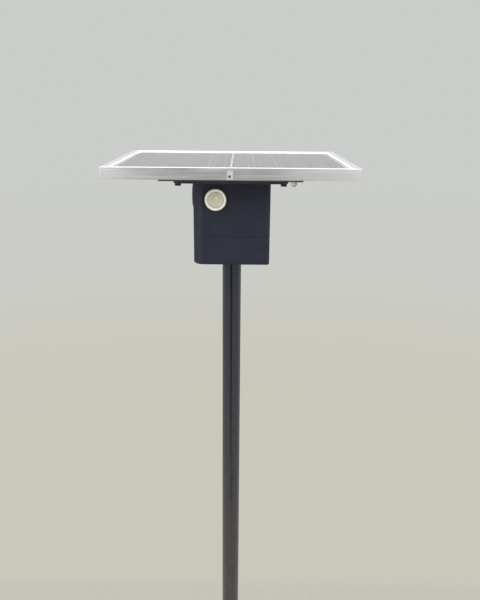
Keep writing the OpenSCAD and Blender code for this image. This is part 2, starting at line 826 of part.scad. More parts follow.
// Clear lens: flat inside, gently domed outside
module lamp_lens(i) {
    edge_r = bore_r + lens_step - run_gap;
    steps = 8;
    dome_r = (edge_r * edge_r + lens_rise * lens_rise) / (2 * lens_rise);
    dome_z = lens_z + lens_edge + lens_rise - dome_r;
    sweep = asin(edge_r / dome_r);
    color([0.9, 0.9, 0.85, 0.5]) lamp_at(i) rotate_extrude()
        polygon(concat([[0, lens_z], [edge_r, lens_z]], [for (k = [steps:-1:0])
            [dome_r * sin(sweep * k / steps), dome_z + dome_r * cos(sweep * k / steps)]]));
}

// Rubber rings between the rims and the case, each turned up into a collar round its rim
module lamp_gaskets() {
    outer = collar_d / 2;
    inner = rim_r + run_gap;
    top = lamp_stand - 0.2;
    bevel = 0.4;
    color(RUBBER) for (i = [0:2]) lamp_at(i) rotate_extrude()
        polygon([[barrel_r + seat_gap, 0], [outer, 0], [outer, top - bevel], [outer - bevel, top],
            [inner, top], [inner, lamp_gasket_t], [barrel_r + seat_gap, lamp_gasket_t]]);
}

// Ring nuts inside the case, with six slots for a pin spanner
module lamp_nuts() {
    slot = [2, 3, 4];
    color(RUBBER) for (i = [0:2]) lamp_at(i) translate([0, 0, -case_wall - lamp_nut_t]) difference() {
        ring(nut_r, barrel_r, lamp_nut_t);
        for (a = [0:60:300]) rotate([0, 0, a]) translate([nut_r, 0, -eps]) cube(slot, center = true);
    }
}

// Parabolic cup: radius grows with the square root of the height over the board
module lamp_reflectors() {
    low_r = 3.4;
    high_r = mouth_r - slide_gap;
    wall = 0.7;
    steps = 8;
    rise = cup_depth - 1;
    function cup_r(t) = low_r + (high_r - low_r) * sqrt(t);
    color(CREAM) for (i = [0:2]) lamp_at(i) translate([0, 0, led_z]) rotate_extrude()
        polygon(concat([for (k = [0:steps]) [cup_r(pow(k / steps, 2)), rise * pow(k / steps, 2)]],
            [for (k = [steps:-1:0]) [cup_r(pow(k / steps, 2)) + wall, rise * pow(k / steps, 2)]]));
}

module led_boards() {
    color([0.85, 0.85, 0.82]) for (i = [0:2]) lamp_at(i)
        translate([0, 0, led_z - led_board_t]) cylinder(r = bore_r - seat_gap, h = led_board_t);
}

// Square package with a round phosphor dot
module led_emitters() {
    pack = 3.5;
    pack_t = 1;
    dot_r = 1.5;
    dot_h = 1.5;
    color([0.85, 0.85, 0.3]) for (i = [0:2]) lamp_at(i) translate([0, 0, led_z]) union() {
        translate([-pack / 2, -pack / 2, 0]) cube([pack, pack, pack_t]);
        cylinder(r = dot_r, h = dot_h);
    }
}

// Finned aluminium slugs that close the barrels behind the boards
module lamp_heat_sinks() {
    base = 1.5;
    slot_w = 1.5;
    pitch = 2 * slot_w;
    side = 3;
    color(ALUMINIUM) for (i = [0:2]) lamp_at(i) translate([0, 0, led_z - led_board_t - sink_l]) difference() {
        cylinder(r = bore_r - seat_gap, h = sink_l);
        for (k = [-side:side]) translate([k * pitch - slot_w / 2, -bore_r, -eps])
            cube([slot_w, 2 * bore_r, sink_l - base + eps]);
    }
}

// ---------------------------------------------------------------- battery stack

module battery_cells() {
    tip = 1;
    tip_r = 4;
    color([0.2, 0.45, 0.65]) translate([0, 0, cells_z])
        at_corners(cell_x, cell_pitch / 2) union() {
            cylinder(r = cell_d / 2, h = cell_l - tip);
            translate([0, 0, cell_l - tip - eps]) cylinder(r = tip_r, h = tip + eps);
        }
}

// Plate with a cup for each cell's end; cup_low is the cup's height over the plate's underside
module cell_plate(low, cup_low) {
    difference() {
        case_prism(low, low + cell_plate_t, plate_inset);
        translate([0, 0, low]) {
            translate([0, 0, -eps]) cylinder(r = pole_r + pole_room, h = cell_plate_t + 2 * eps);
            at_corners(rod_x, rod_y) translate([0, 0, -eps])
                cylinder(r = M4[0] / 2 + seat_gap, h = cell_plate_t + 2 * eps);
            at_corners(cell_x, cell_pitch / 2) {
                translate([0, 0, cup_low]) cylinder(r = cell_d / 2 + seat_gap, h = cell_cup + eps);
                translate([0, 0, -eps]) cylinder(r = cell_post_r, h = cell_plate_t + 2 * eps);
            }
        }
    }
}

module upper_cell_plate() {
    color(RUBBER) difference() {
        cell_plate(upper_plate_z, -eps);
        translate([0, riser_y, upper_plate_z - eps]) cylinder(r = wire_hole_r, h = cell_plate_t + 2 * eps);
    }
}

// The lower plate also has the two bosses that take the cover screws
module lower_cell_plate() {
    color(RUBBER) difference() {
        union() {
            cell_plate(lower_plate_z, cell_plate_t - cell_cup);
            for (s = [-1, 1]) translate([0, s * cover_screw_y, lower_plate_z])
                cylinder(r = boss_r, h = cell_plate_t + plate_boss_h);
        }
        for (s = [-1, 1]) translate([0, s * cover_screw_y, lower_plate_z - eps])
            cylinder(r = M4[0] / 2, h = cell_plate_t + plate_boss_h + 2 * eps);
    }
}

// Nickel strips: one pair over the cells, one round the pole under them
module cell_links() {
    strip_w = 8;
    strip_t = 0.5;
    stud_r = 3;
    stud_h = cell_plate_t - cell_cup;
    half = cell_pitch / 2;
    detour_y = half + 11;
    color(ZINC) {
        for (s = [-1, 1]) translate([s * cell_x, 0, upper_plate_z + cell_plate_t]) union() {
            translate([-strip_w / 2, -half - strip_w / 2, 0]) cube([strip_w, cell_pitch + strip_w, strip_t]);
            for (t = [-1, 1]) translate([0, t * half, -stud_h]) cylinder(r = stud_r, h = stud_h + strip_t);
        }
        translate([0, 0, lower_plate_z - strip_t]) union() {
            translate([-cell_x - strip_w / 2, -detour_y, 0]) cube([2 * cell_x + strip_w, strip_w, strip_t]);
            for (s = [-1, 1]) translate([s * cell_x, 0, 0]) {
                translate([-strip_w / 2, -detour_y, 0])
                    cube([strip_w, detour_y - half + strip_w / 2, strip_t]);
                translate([0, -half, 0]) cylinder(r = stud_r, h = stud_h + strip_t);
            }
        }
    }
}

// ---------------------------------------------------------------- controller

module controller_board() {
    color(GREEN) difference() {
        translate([board_x - board_w / 2, board_y, board_z]) cube([board_w, board_t, board_h]);
        at_pillars() translate([0, 0, -eps])
            cylinder(r = M3[0] / 2 + seat_gap, h = pillar_l + board_t + 2 * eps);
    }
}

// Choke, two capacitors and a small heat sink on the board's front. Round parts are radius,
// hole and height; places are measured from the middle of the board's lower edge
module board_parts() {
    choke = [7, 2.5, 7];
    choke_at = [-7, 18];
    can = [4, 11];
    can_at = [11, 12];
    can_pitch = 10;
    sink = [10, 6, 7];
    sink_at = [-15, 3];
    fin_t = 1.5;
    color(DARK_STEEL) translate([board_x, board_y, board_z]) {
        translate([choke_at[0], 0, choke_at[1]]) rotate([90, 0, 0]) ring(choke[0], choke[1], choke[2]);
        for (k = [0, 1]) translate([can_at[0], 0, can_at[1] + k * can_pitch]) rotate([90, 0, 0])
            cylinder(r = can[0], h = can[1]);
        translate([sink_at[0], -sink[1], sink_at[1]]) difference() {
            cube(sink);
            for (k = [0:2]) translate([fin_t * (2 * k + 1), -eps, -eps])
                cube([fin_t, sink[1] - fin_t + eps, sink[2] + 2 * eps]);
        }
    }
}

// Screw terminals in one row along the board's top edge
module terminal_strip() {
    way = 4.8;
    ways = 6;
    well_r = 1.8;
    well_h = 1.5;
    color([0.2, 0.55, 0.35]) translate([strip_x, strip_face_y, strip_z]) difference() {
        cube([way * ways, strip_d, strip_h]);
        for (k = [0:ways - 1]) translate([(k + 0.5) * way, strip_d / 2, strip_h - well_h])
            cylinder(r = well_r, h = well_h + eps);
    }
}

module board_screws() {
    color(ZINC) at_pillars() translate([0, 0, pillar_l + board_t]) mirror([0, 0, 1])
        round_screw(M3, pillar_l + board_t - slide_gap);
}

// Round wire through the given points, with slightly swollen ball elbows
module wire(points) {
    $fn = 24;
    union() {
        for (i = [0:len(points) - 2]) wire_leg(points[i], points[i + 1]);
        for (i = [1:len(points) - 2]) translate(points[i]) sphere(wire_r * elbow_share);
    }
}

module wire_leg(a, b) {
    d = b - a;
    flat = norm([d[0], d[1]]);
    translate(a) rotate([0, atan2(flat, d[2]), atan2(d[1], d[0])]) cylinder(r = wire_r, h = norm(d));
}

// Wires from the lamps, the battery and the switch, each square on to its terminal
module inner_wiring() {
    back = -led_z + led_board_t + sink_l;
    front_y = back - case_d / 2;
    rear_y = case_d / 2 - back;
    left_x = back - case_w / 2;
    high = plate_z - roof_t - 5;
    higher = high + 2;
    front_lane = front_y + 5;
    left_lane = left_x + 4;
    rear_lane = rear_y - 3;
    cell_lane = riser_y + 3;
    side_x = socket_r + 2.4;
    lane_y = socket_r + 3;
    function port(k) = [[port_x[k], strip_face_y - 2 * wire_r, gland_z], [port_x[k], strip_face_y, gland_z]];
    color([0.6, 0.1, 0.1]) {
        wire(concat([[-lamp_offset, front_y, lamp_z], [-lamp_offset, front_lane, lamp_z],
            [-lamp_offset, front_lane, high], [side_x, front_lane, high], [side_x, riser_y, high]], port(3)));
        wire(concat([[left_x, 0, lamp_z], [left_lane, 0, lamp_z], [left_lane, 0, higher],
            [left_lane, lane_y, higher], [port_x[2], lane_y, higher]], port(2)));
        wire(concat([[-lamp_offset, rear_y, lamp_z], [-lamp_offset, rear_lane, lamp_z],
            [-lamp_offset, rear_lane, high], [port_x[1], rear_lane, high]], port(1)));
        wire(concat([[port_x[4], cell_lane, upper_plate_z + cell_plate_t],
            [port_x[4], cell_lane, gland_z - 3]], port(4)));
        wire(concat([[0, switch_y - switch_l, switch_z], [0, riser_y, switch_z],
            [0, riser_y, gland_z - 4]], port(0)));
    }
}

// ---------------------------------------------------------------- switch

// Children in the switch's own frame: +Z out of the rear wall, origin on its face
module switch_at() {
    translate([0, switch_y, switch_z]) rotate([-90, 0, 0]) children();
}

module switch_body() {
    color(RUBBER) switch_at() difference() {
        union() {
            cylinder(r = flange_r, h = flange_t);
            translate([0, 0, -switch_l]) cylinder(r = switch_r - run_gap, h = switch_l + eps);
        }
        translate([0, 0, flange_t + button_stand - button_l - button_travel - slide_gap])
            cylinder(r = button_r + run_gap, h = button_l + button_travel + slide_gap);
    }
}

module switch_nut() {
    color(ZINC) switch_at() translate([0, 0, -case_wall - switch_nut_t]) difference() {
        hex(switch_nut_af, switch_nut_t);
        translate([0, 0, -eps]) cylinder(r = switch_r, h = switch_nut_t + 2 * eps);
    }
}

module switch_button() {
    crown = 0.8;
    color(ZINC) switch_at() translate([0, 0, flange_t + button_stand - button_l]) rotate_extrude()
        polygon([[0, 0], [button_r, 0], [button_r, button_l - crown],
            [button_r - crown, button_l], [0, button_l]]);
}

// ---------------------------------------------------------------- lower cover

module lower_cover() {
    color(NAVY) difference() {
        union() {
            difference() {
                union() {
                    case_prism(case_z, rim_z, 0);
                    case_prism(rim_z - eps, tongue_z, case_wall - tongue_t);
                }
                case_prism(case_z + floor_t, tongue_z + eps, case_wall);
            }
            for (s = [-1, 1]) translate([0, s * cover_screw_y, case_z])
                cylinder(r = boss_r, h = cover_boss_h);
        }
        translate([0, 0, case_z - eps]) cylinder(r = cover_hole_r, h = floor_t + 2 * eps);
        for (s = [-1, 1]) translate([0, s * cover_screw_y, case_z]) {
            translate([0, 0, -eps]) cylinder(r = head_well_r, h = head_room + eps);
            cylinder(r = M4[0] / 2 + seat_gap, h = cover_boss_h + eps);
        }
    }
}

// Rubber ring in the cover's floor that rides on the pole
module pole_seal() {
    inner = pole_r + run_gap;
    neck = cover_hole_r - seat_gap;
    lip = 1.4;
    under = -seat_gap;
    over = floor_t + seat_gap;
    color(RUBBER) translate([0, 0, case_z]) rotate_extrude()
        polygon([[inner, under - lip], [seal_r, under - lip], [seal_r, under], [neck, under],
            [neck, over], [seal_r, over], [seal_r, over + lip], [inner, over + lip]]);
}

module cover_screws() {
    color(ZINC) for (s = [-1, 1]) translate([0, s * cover_screw_y, case_z + head_room])
        round_screw(M4, cover_screw_l);
}

// ---------------------------------------------------------------- nodes

base_plate();
gussets();
pole_tube();
pole_cap();
pole_socket();
clamp_screws();
carrier_plate();
strap(-1);  // front_strap
strap(1);  // rear_strap
frame_bolts();
frame_nuts();
earth_bolt();
earth_washer();
earth_nut();
frame_front();
frame_rear();
frame_left();
frame_right();
corner_keys();
panel_glass();
solar_cells();
backsheet();
junction_box();
junction_lid();
junction_gland();
panel_lead();
case_gland();
gland_nut();
case_shell();
case_gasket();
tie_rods();
rod_nuts();
for (i = [0:2]) lamp_bezel(i);
for (i = [0:2]) lamp_lens(i);
lamp_gaskets();
lamp_nuts();
lamp_reflectors();
led_boards();
led_emitters();
lamp_heat_sinks();
battery_cells();
upper_cell_plate();
lower_cell_plate();
cell_links();
controller_board();
board_parts();
terminal_strip();
board_screws();
inner_wiring();
switch_body();
switch_nut();
switch_button();
lower_cover();
pole_seal();
cover_screws();
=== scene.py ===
"""Studio model of a solar street lamp on a pole.

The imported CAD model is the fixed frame: it holds every piece that carries load, moves or fits.
This script dresses those pieces, adds the ones that are made by hand (the ribbons over the
cells, the sealant, the moulded lower cover, the welds, the panel lead) and sets the floor, light
and camera. Lengths are in metres in the frame of the CAD model: +Z is up and -Y is the front.
"""

import logging
import math
from dataclasses import dataclass, replace
from enum import Enum

import bmesh
import bpy
from mathutils import Matrix, Vector


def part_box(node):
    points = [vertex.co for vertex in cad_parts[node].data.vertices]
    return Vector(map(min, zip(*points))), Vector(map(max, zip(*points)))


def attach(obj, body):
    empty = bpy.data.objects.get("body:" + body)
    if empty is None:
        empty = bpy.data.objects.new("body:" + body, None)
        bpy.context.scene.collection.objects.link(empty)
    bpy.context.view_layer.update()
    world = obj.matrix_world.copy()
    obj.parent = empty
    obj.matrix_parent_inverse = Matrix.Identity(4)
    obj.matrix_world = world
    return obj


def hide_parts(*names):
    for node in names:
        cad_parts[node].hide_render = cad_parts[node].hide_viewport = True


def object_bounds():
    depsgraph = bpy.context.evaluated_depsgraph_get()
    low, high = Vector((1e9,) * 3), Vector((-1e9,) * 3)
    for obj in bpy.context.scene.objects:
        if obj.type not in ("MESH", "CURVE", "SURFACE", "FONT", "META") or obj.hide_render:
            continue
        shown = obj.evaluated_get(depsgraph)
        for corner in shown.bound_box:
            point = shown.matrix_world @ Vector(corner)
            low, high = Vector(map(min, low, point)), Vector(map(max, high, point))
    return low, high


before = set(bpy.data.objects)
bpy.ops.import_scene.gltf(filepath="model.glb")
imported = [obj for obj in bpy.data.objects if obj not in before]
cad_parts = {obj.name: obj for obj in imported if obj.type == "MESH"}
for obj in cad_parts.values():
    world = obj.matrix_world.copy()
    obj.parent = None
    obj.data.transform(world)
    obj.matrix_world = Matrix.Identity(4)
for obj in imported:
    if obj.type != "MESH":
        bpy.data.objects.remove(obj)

CAD_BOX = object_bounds()
MM = 0.001
LOG = logging.getLogger("street_lamp")
Triple = tuple[float, float, float]
Tree = bpy.types.NodeTree
Socket = bpy.types.NodeSocket


# ---------------------------------------------------------------- colour and nodes


def linear(code: str) -> tuple[float, float, float, float]:
    """Turn an sRGB hex colour into the linear colour that Blender's sockets take.

    Args:
        code: Colour as "#rrggbb".

    Returns:
        Linear red, green, blue and an alpha of 1.
    """
    parts = [int(code[i : i + 2], 16) / 255 for i in (1, 3, 5)]
    bent = [p / 12.92 if p <= 0.04045 else ((p + 0.055) / 1.055) ** 2.4 for p in parts]
    return (bent[0], bent[1], bent[2], 1.0)


def add(tree: Tree, kind: str, sockets: dict | None = None, **settings: object) -> bpy.types.Node:
    """Add one node, with its settings, its values and its links.

    Args:
        tree: Tree that the node goes into.
        kind: Blender's name for the kind of node, without the leading "ShaderNode".
        sockets: Input name or number, and the value it holds or the output that feeds it.
        settings: Properties of the node itself.

    Returns:
        The new node.
    """
    node = tree.nodes.new("ShaderNode" + kind)
    for name, value in settings.items():
        setattr(node, name, value)
    for name, value in (sockets or {}).items():
        if isinstance(value, bpy.types.NodeSocket):
            tree.links.new(value, node.inputs[name])
        else:
            node.inputs[name].default_value = value
    return node


def per_metre(size_mm: float) -> float:
    """Texture scale that repeats about once in the given number of millimetres."""
    return 1000.0 / size_mm


def blank(name: str) -> bpy.types.Material:
    """Make a material with an empty tree.

    Args:
        name: Name of the material.

    Returns:
        The material.
    """
    made = bpy.data.materials.new(name)
    made.use_nodes = True
    made.node_tree.nodes.clear()
    return made


@dataclass
class Coat:
    """A material in the making.

    Attributes:
        tree: Its tree.
        shader: Its principled shader.
        place: The object's own coordinates, in metres.
    """

    tree: Tree
    shader: bpy.types.Node
    place: Socket

    def lay(self, colour: Socket, roughness: Socket | None, bump: bpy.types.Node) -> Socket:
        """Feed the shader.

        Args:
            colour: Base colour.
            roughness: Roughness, or None to keep the even one.
            bump: Bump node that bends the light.

        Returns:
            The shader's output.
        """
        fed = {"Base Color": colour, "Roughness": roughness, "Normal": bump.outputs["Normal"]}
        for name, socket in fed.items():
            if socket is not None:
                self.tree.links.new(socket, self.shader.inputs[name])
        return self.shader.outputs["BSDF"]


# ---------------------------------------------------------------- finishes


class Grain(Enum):
    """The way that drawn lines run, as the scale of their texture along X, Y and Z."""

    X = (0.02, 1.0, 1.0)
    Y = (1.0, 0.02, 1.0)
    Z = (1.0, 1.0, 0.02)


@dataclass(frozen=True)
class Finish:
    """A surface finish, and the values that hold all over it.

    Attributes:
        name: The real material and how its surface was made.
        colour: Main colour, sRGB hex.
        tint: The colour that patches of it drift to, sRGB hex.
        roughness: Middle of the roughness.
        metallic: 1 for bare metal, 0 for the rest.
        ior: Index of refraction of what isn't metal.
    """

    name: str
    colour: str
    tint: str
    roughness: float
    metallic: float = 0.0
    ior: float = 1.5

    def material(self) -> bpy.types.Material:
        """Build the material, or fetch it when it was built before.

        Returns:
            The finished material.
        """
        known = bpy.data.materials.get(self.name)
        if known:
            return known
        made = blank(self.name)
        tree = made.node_tree
        place = add(tree, "TexCoord").outputs["Object"]
        shader = add(tree, "BsdfPrincipled", {"Metallic": self.metallic, "Roughness": self.roughness})
        if not self.metallic:
            shader.inputs["IOR"].default_value = self.ior
        add(tree, "OutputMaterial", {"Surface": self.pattern(Coat(tree, shader, place))})
        return made

    def pattern(self, coat: Coat) -> Socket:
        """Lay the finish's own detail over the shader, and return the output that shows."""
        raise NotImplementedError

    def drift(self, coat: Coat, size_mm: float, share: float) -> Socket:
        """Colour that wanders from the main one to the tint in soft clouds.

        Args:
            coat: The material in the making.
            size_mm: Width of a cloud.
            share: How much of the tint the densest cloud holds.

        Returns:
            The colour.
        """
        tree = coat.tree
        soft = {"Vector": coat.place, "Scale": per_metre(size_mm), "Detail": 5.0, "Roughness": 0.6}
        cloud = add(tree, "TexNoise", soft).outputs["Fac"]
        amount = add(tree, "MapRange", {"Value": cloud, "From Min": 0.35, "From Max": 0.7, "To Max": share})
        ends = {0: amount.outputs["Result"], 6: linear(self.colour), 7: linear(self.tint)}
        return add(tree, "Mix", ends, data_type="RGBA").outputs[2]

    def uneven_gloss(self, coat: Coat, size_mm: float, spread: float) -> Socket:
        """Roughness that varies about the finish's own value, as handling and weather leave it.

        Args:
            coat: The material in the making.
            size_mm: Width of a patch.
            spread: Most that the roughness rises or falls.

        Returns:
            The roughness.
        """
        tree = coat.tree
        patch = add(tree, "TexNoise", {"Vector": coat.place, "Scale": per_metre(size_mm), "Detail": 4.0})
        value = {"Value": patch.outputs["Fac"], "From Min": 0.3, "From Max": 0.7}
        ends = {"To Min": max(self.roughness - spread, 0.02), "To Max": self.roughness + spread}
        return add(tree, "MapRange", {**value, **ends}).outputs["Result"]


def dusted(coat: Coat, colour: Socket, share: float) -> Socket:
    """Lay pale street dust on whatever faces up, thicker in some patches than in others.

    Args:
        coat: The material in the making.
        colour: Clean colour.
        share: Cover of the dust where it lies thickest.

    Returns:
        The colour with its dust.
    """
    tree = coat.tree
    up = add(tree, "SeparateXYZ", {0: add(tree, "NewGeometry").outputs["Normal"]}).outputs["Z"]
    lies = add(tree, "MapRange", {"Value": up, "From Min": 0.25, "From Max": 0.95, "To Max": share})
    clumps = {"Vector": coat.place, "Scale": per_metre(14), "Detail": 6.0, "Roughness": 0.65}
    patch = add(tree, "TexNoise", clumps)
    cover = add(tree, "Math", {0: lies.outputs["Result"], 1: patch.outputs["Fac"]}, operation="MULTIPLY")
    ends = {0: cover.outputs[0], 6: colour, 7: linear("#b9b2a4")}
    return add(tree, "Mix", ends, data_type="RGBA").outputs[2]


@dataclass(frozen=True)
class Moulded(Finish):
    """Injection-moulded plastic or rubber from a spark-eroded mould: fine pebbled skin, soft highlight.

    Attributes:
        pebble_mm: Spacing of the mould's texture; a real one is finer, and this is as coarse as shows.
        pebble_depth_mm: Depth of the texture.
        dust: Cover of dust on upward faces.
        haze: Weight of the scattering just under the skin, for milky plastics.
    """

    pebble_mm: float = 0.9
    pebble_depth_mm: float = 0.03
    dust: float = 0.35
    haze: float = 0.0

    def pattern(self, coat: Coat) -> Socket:
        """Lay pebbled skin, drifting colour, uneven gloss and dust.

        Args:
            coat: The material in the making.

        Returns:
            The shader's output.
        """
        pebbles = {"Vector": coat.place, "Scale": per_metre(self.pebble_mm), "Detail": 2.0}
        height = add(coat.tree, "TexNoise", pebbles).outputs["Fac"]
        depth = self.pebble_depth_mm * MM
        bump = add(coat.tree, "Bump", {"Height": height, "Distance": depth, "Strength": 0.8})
        if self.haze:
            scatter = coat.shader.inputs
            scatter["Subsurface Weight"].default_value = self.haze
            scatter["Subsurface Radius"].default_value = (2.0, 1.6, 1.0)
            scatter["Subsurface Scale"].default_value = MM
        colour = dusted(coat, self.drift(coat, 22, 1.0), self.dust)
        return coat.lay(colour, self.uneven_gloss(coat, 9, 0.06), bump)


@dataclass(frozen=True)
class StoveEnamel(Finish):
    """Gloss black enamel, sprayed on drawn steel and stoved: mirror highlights over a faint orange peel.

    Attributes:
        peel_mm: Spacing of the orange peel.
        peel_depth_mm: Depth of the orange peel.
        splash_height: Height up to which the street has dulled it, in metres.
    """

    peel_mm: float = 3.5
    peel_depth_mm: float = 0.012
    splash_height: float = 1.15

    def pattern(self, coat: Coat) -> Socket:
        """Lay orange peel, a film of brown splashes that thickens downwards, and specks.

        Args:
            coat: The material in the making.

        Returns:
            The shader's output.
        """
        tree, place = coat.tree, coat.place
        height = add(tree, "SeparateXYZ", {0: place}).outputs["Z"]
        rise = {"From Min": self.splash_height, "From Max": 0.0, "To Max": 0.85}
        film = add(tree, "MapRange", {"Value": height, **rise}).outputs["Result"]
        dirt = {"Vector": place, "Scale": per_metre(7), "Detail": 8.0, "Roughness": 0.7}
        grime = add(tree, "TexNoise", dirt).outputs["Fac"]
        cover = add(tree, "Math", {0: film, 1: grime}, operation="MULTIPLY").outputs[0]
        ends = {0: cover, 6: self.drift(coat, 40, 0.6), 7: linear("#665c4a")}
        filmed = add(tree, "Mix", ends, data_type="RGBA").outputs[2]
        peel = add(tree, "TexNoise", {"Vector": place, "Scale": per_metre(self.peel_mm), "Detail": 1.0})
        depth = self.peel_depth_mm * MM
        bump = add(tree, "Bump", {"Height": peel.outputs["Fac"], "Distance": depth, "Strength": 0.7})
        gloss = self.uneven_gloss(coat, 30, 0.04)
        dull = add(tree, "Math", {0: cover, 1: 0.4, 2: gloss}, operation="MULTIPLY_ADD").outputs[0]
        coat.shader.inputs["Coat Weight"].default_value = 0.2
        coat.shader.inputs["Coat Roughness"].default_value = 0.05
        coat.shader.inputs["Coat IOR"].default_value = 1.6
        return coat.lay(self.specked(coat, filmed), dull, bump)

    def specked(self, coat: Coat, colour: Socket) -> Socket:
        """Scatter small pale specks over a colour, in one cell of ten.

        Args:
            coat: The material in the making.
            colour: The colour without them.

        Returns:
            The colour with them.
        """
        tree = coat.tree
        speck = add(tree, "TexVoronoi", {"Vector": coat.place, "Scale": per_metre(9)}, feature="F1")
        near = {"Value": speck.outputs["Distance"], "From Min": 0.07, "From Max": 0.05}
        dot = add(tree, "MapRange", near).outputs["Result"]
        pick = add(tree, "SeparateXYZ", {0: speck.outputs["Color"]}).outputs["X"]
        few = add(tree, "Math", {0: pick, 1: 0.9}, operation="GREATER_THAN").outputs[0]
        shown = add(tree, "Math", {0: dot, 1: few}, operation="MULTIPLY").outputs[0]
        return add(tree, "Mix", {0: shown, 6: colour, 7: linear("#9c968a")}, data_type="RGBA").outputs[2]


@dataclass(frozen=True)
class Anodised(Finish):
    """Extruded aluminium, etched and clear anodised: satin, with faint die lines along the bar.

    Attributes:
        grain: The way the bar was drawn.
        line_mm: Spacing of the die lines; real ones are finer, and these are as coarse as shows.
        rub: Middle in X and Z, and width and height, of a patch rubbed pale; in metres.
    """

    grain: Grain = Grain.X
    line_mm: float = 1.6
    rub: tuple[float, float, float, float] | None = None

    def pattern(self, coat: Coat) -> Socket:
        """Lay die lines in colour, gloss and relief, and the rubbed patch.

        Args:
            coat: The material in the making.

        Returns:
            The shader's output.
        """
        tree = coat.tree
        along = add(tree, "Mapping", {"Vector": coat.place, "Scale": self.grain.value}).outputs["Vector"]
        drawn = {"Vector": along, "Scale": per_metre(self.line_mm), "Detail": 5.0, "Roughness": 0.7}
        lines = add(tree, "TexNoise", drawn).outputs["Fac"]
        ends = {0: lines, 6: self.drift(coat, 35, 0.7), 7: linear(self.tint)}
        colour = add(tree, "Mix", ends, data_type="RGBA").outputs[2]
        spread = {"To Min": self.roughness - 0.06, "To Max": self.roughness + 0.08}
        gloss = add(tree, "MapRange", {"Value": lines, "From Min": 0.3, "From Max": 0.7, **spread})
        bump = add(tree, "Bump", {"Height": lines, "Distance": 0.02 * MM, "Strength": 0.5})
        if self.rub:
            bare = add(tree, "Math", {0: 1.0, 1: self.rubbed(coat)}, operation="SUBTRACT").outputs[0]
            tree.links.new(bare, coat.shader.inputs["Metallic"])
        return coat.lay(colour, gloss.outputs["Result"], bump)

    def rubbed(self, coat: Coat) -> Socket:
        """Cover of the rubbed patch: even inside it, ragged at its rim.

        Args:
            coat: The material in the making.

        Returns:
            The cover, from 0 to 1.
        """
        tree = coat.tree
        middle_x, middle_z, width, height = self.rub
        gritty = {"Vector": coat.place, "Scale": per_metre(2), "Detail": 4.0, "Roughness": 0.7}
        grit = add(tree, "TexNoise", gritty).outputs["Fac"]
        off = add(tree, "VectorMath", {0: coat.place, 1: (middle_x, 0, middle_z)}, operation="SUBTRACT")
        parts = add(tree, "SeparateXYZ", {0: off.outputs[0]})
        sides = []
        for axis, size in (("X", width), ("Z", height)):
            share = add(tree, "Math", {0: parts.outputs[axis], 1: 2 / size}, operation="MULTIPLY").outputs[0]
            sides.append(add(tree, "Math", {0: share}, operation="ABSOLUTE").outputs[0])
        far = add(tree, "Math", {0: sides[0], 1: sides[1]}, operation="MAXIMUM").outputs[0]
        ragged = add(tree, "Math", {0: grit, 1: 0.5, 2: far}, operation="MULTIPLY_ADD").outputs[0]
        rim = {"From Min": 1.45, "From Max": 1.1, "To Max": 0.32}
        return add(tree, "MapRange", {"Value": ragged, **rim}).outputs["Result"]


@dataclass(frozen=True)
class Plated(Finish):
    """Steel or copper plated from a bath: fine crystals that glint, duller where it was handled.

    Attributes:
        crystal_mm: Width of a crystal; real ones are too fine to see, and these are as coarse as shows.
    """

    crystal_mm: float = 1.2

    def pattern(self, coat: Coat) -> Socket:
        """Lay crystals in colour and relief, and uneven gloss.

        Args:
            coat: The material in the making.

        Returns:
            The shader's output.
        """
        tree = coat.tree
        crystal = add(tree, "TexVoronoi", {"Vector": coat.place, "Scale": per_metre(self.crystal_mm)})
        shade = add(tree, "SeparateXYZ", {0: crystal.outputs["Color"]}).outputs["X"]
        ends = {0: shade, 6: self.drift(coat, 8, 0.8), 7: linear(self.tint)}
        colour = add(tree, "Mix", ends, data_type="RGBA").outputs[2]
        bump = add(tree, "Bump", {"Height": shade, "Distance": 0.01 * MM, "Strength": 0.6})
        return coat.lay(colour, self.uneven_gloss(coat, 5, 0.08), bump)


@dataclass(frozen=True)
class PowderCoat(Finish):
    """Polyester powder, baked on cut sheet steel: even, low sheen, with a fine leathery skin."""

    def pattern(self, coat: Coat) -> Socket:
        """Lay leathery skin, drifting colour and dust.

        Args:
            coat: The material in the making.

        Returns:
            The shader's output.
        """
        tree = coat.tree
        leather = add(tree, "TexNoise", {"Vector": coat.place, "Scale": per_metre(1.4), "Detail": 3.0})
        bump = add(tree, "Bump", {"Height": leather.outputs["Fac"], "Distance": 0.04 * MM, "Strength": 0.8})
        colour = dusted(coat, self.drift(coat, 30, 0.8), 0.3)
        return coat.lay(colour, self.uneven_gloss(coat, 12, 0.08), bump)


@dataclass(frozen=True)
class Clear(Finish):
    """Clear sheet or lens: it shows what is under it and mirrors the sky at a low angle.

    Attributes:
        ripple_mm: Spacing of the rolled or moulded ripple.
        ripple_depth_mm: Depth of the ripple.
        milk: Share of the light that each face scatters, which makes it milky.
    """

    ripple_mm: float = 2.0
    ripple_depth_mm: float = 0.004
    milk: float = 0.0

    def pattern(self, coat: Coat) -> Socket:
        """Lay ripple and uneven gloss, and let the light of lamps straight through.

        Args:
            coat: The material in the making.

        Returns:
            The output of the clear shader, mixed with an open way for shadows.
        """
        tree = coat.tree
        rolled = {"Vector": coat.place, "Scale": per_metre(self.ripple_mm), "Detail": 2.0}
        ripple = add(tree, "TexNoise", rolled).outputs["Fac"]
        depth = self.ripple_depth_mm * MM
        bump = add(tree, "Bump", {"Height": ripple, "Distance": depth, "Strength": 0.6})
        coat.shader.inputs["Transmission Weight"].default_value = 1.0 - self.milk
        clear = coat.lay(self.drift(coat, 60, 0.5), self.uneven_gloss(coat, 45, 0.02), bump)
        shadow = add(tree, "LightPath").outputs["Is Shadow Ray"]
        open_way = add(tree, "BsdfTransparent", {"Color": linear(self.tint)}).outputs[0]
        return add(tree, "MixShader", {0: shadow, 1: clear, 2: open_way}).outputs[0]


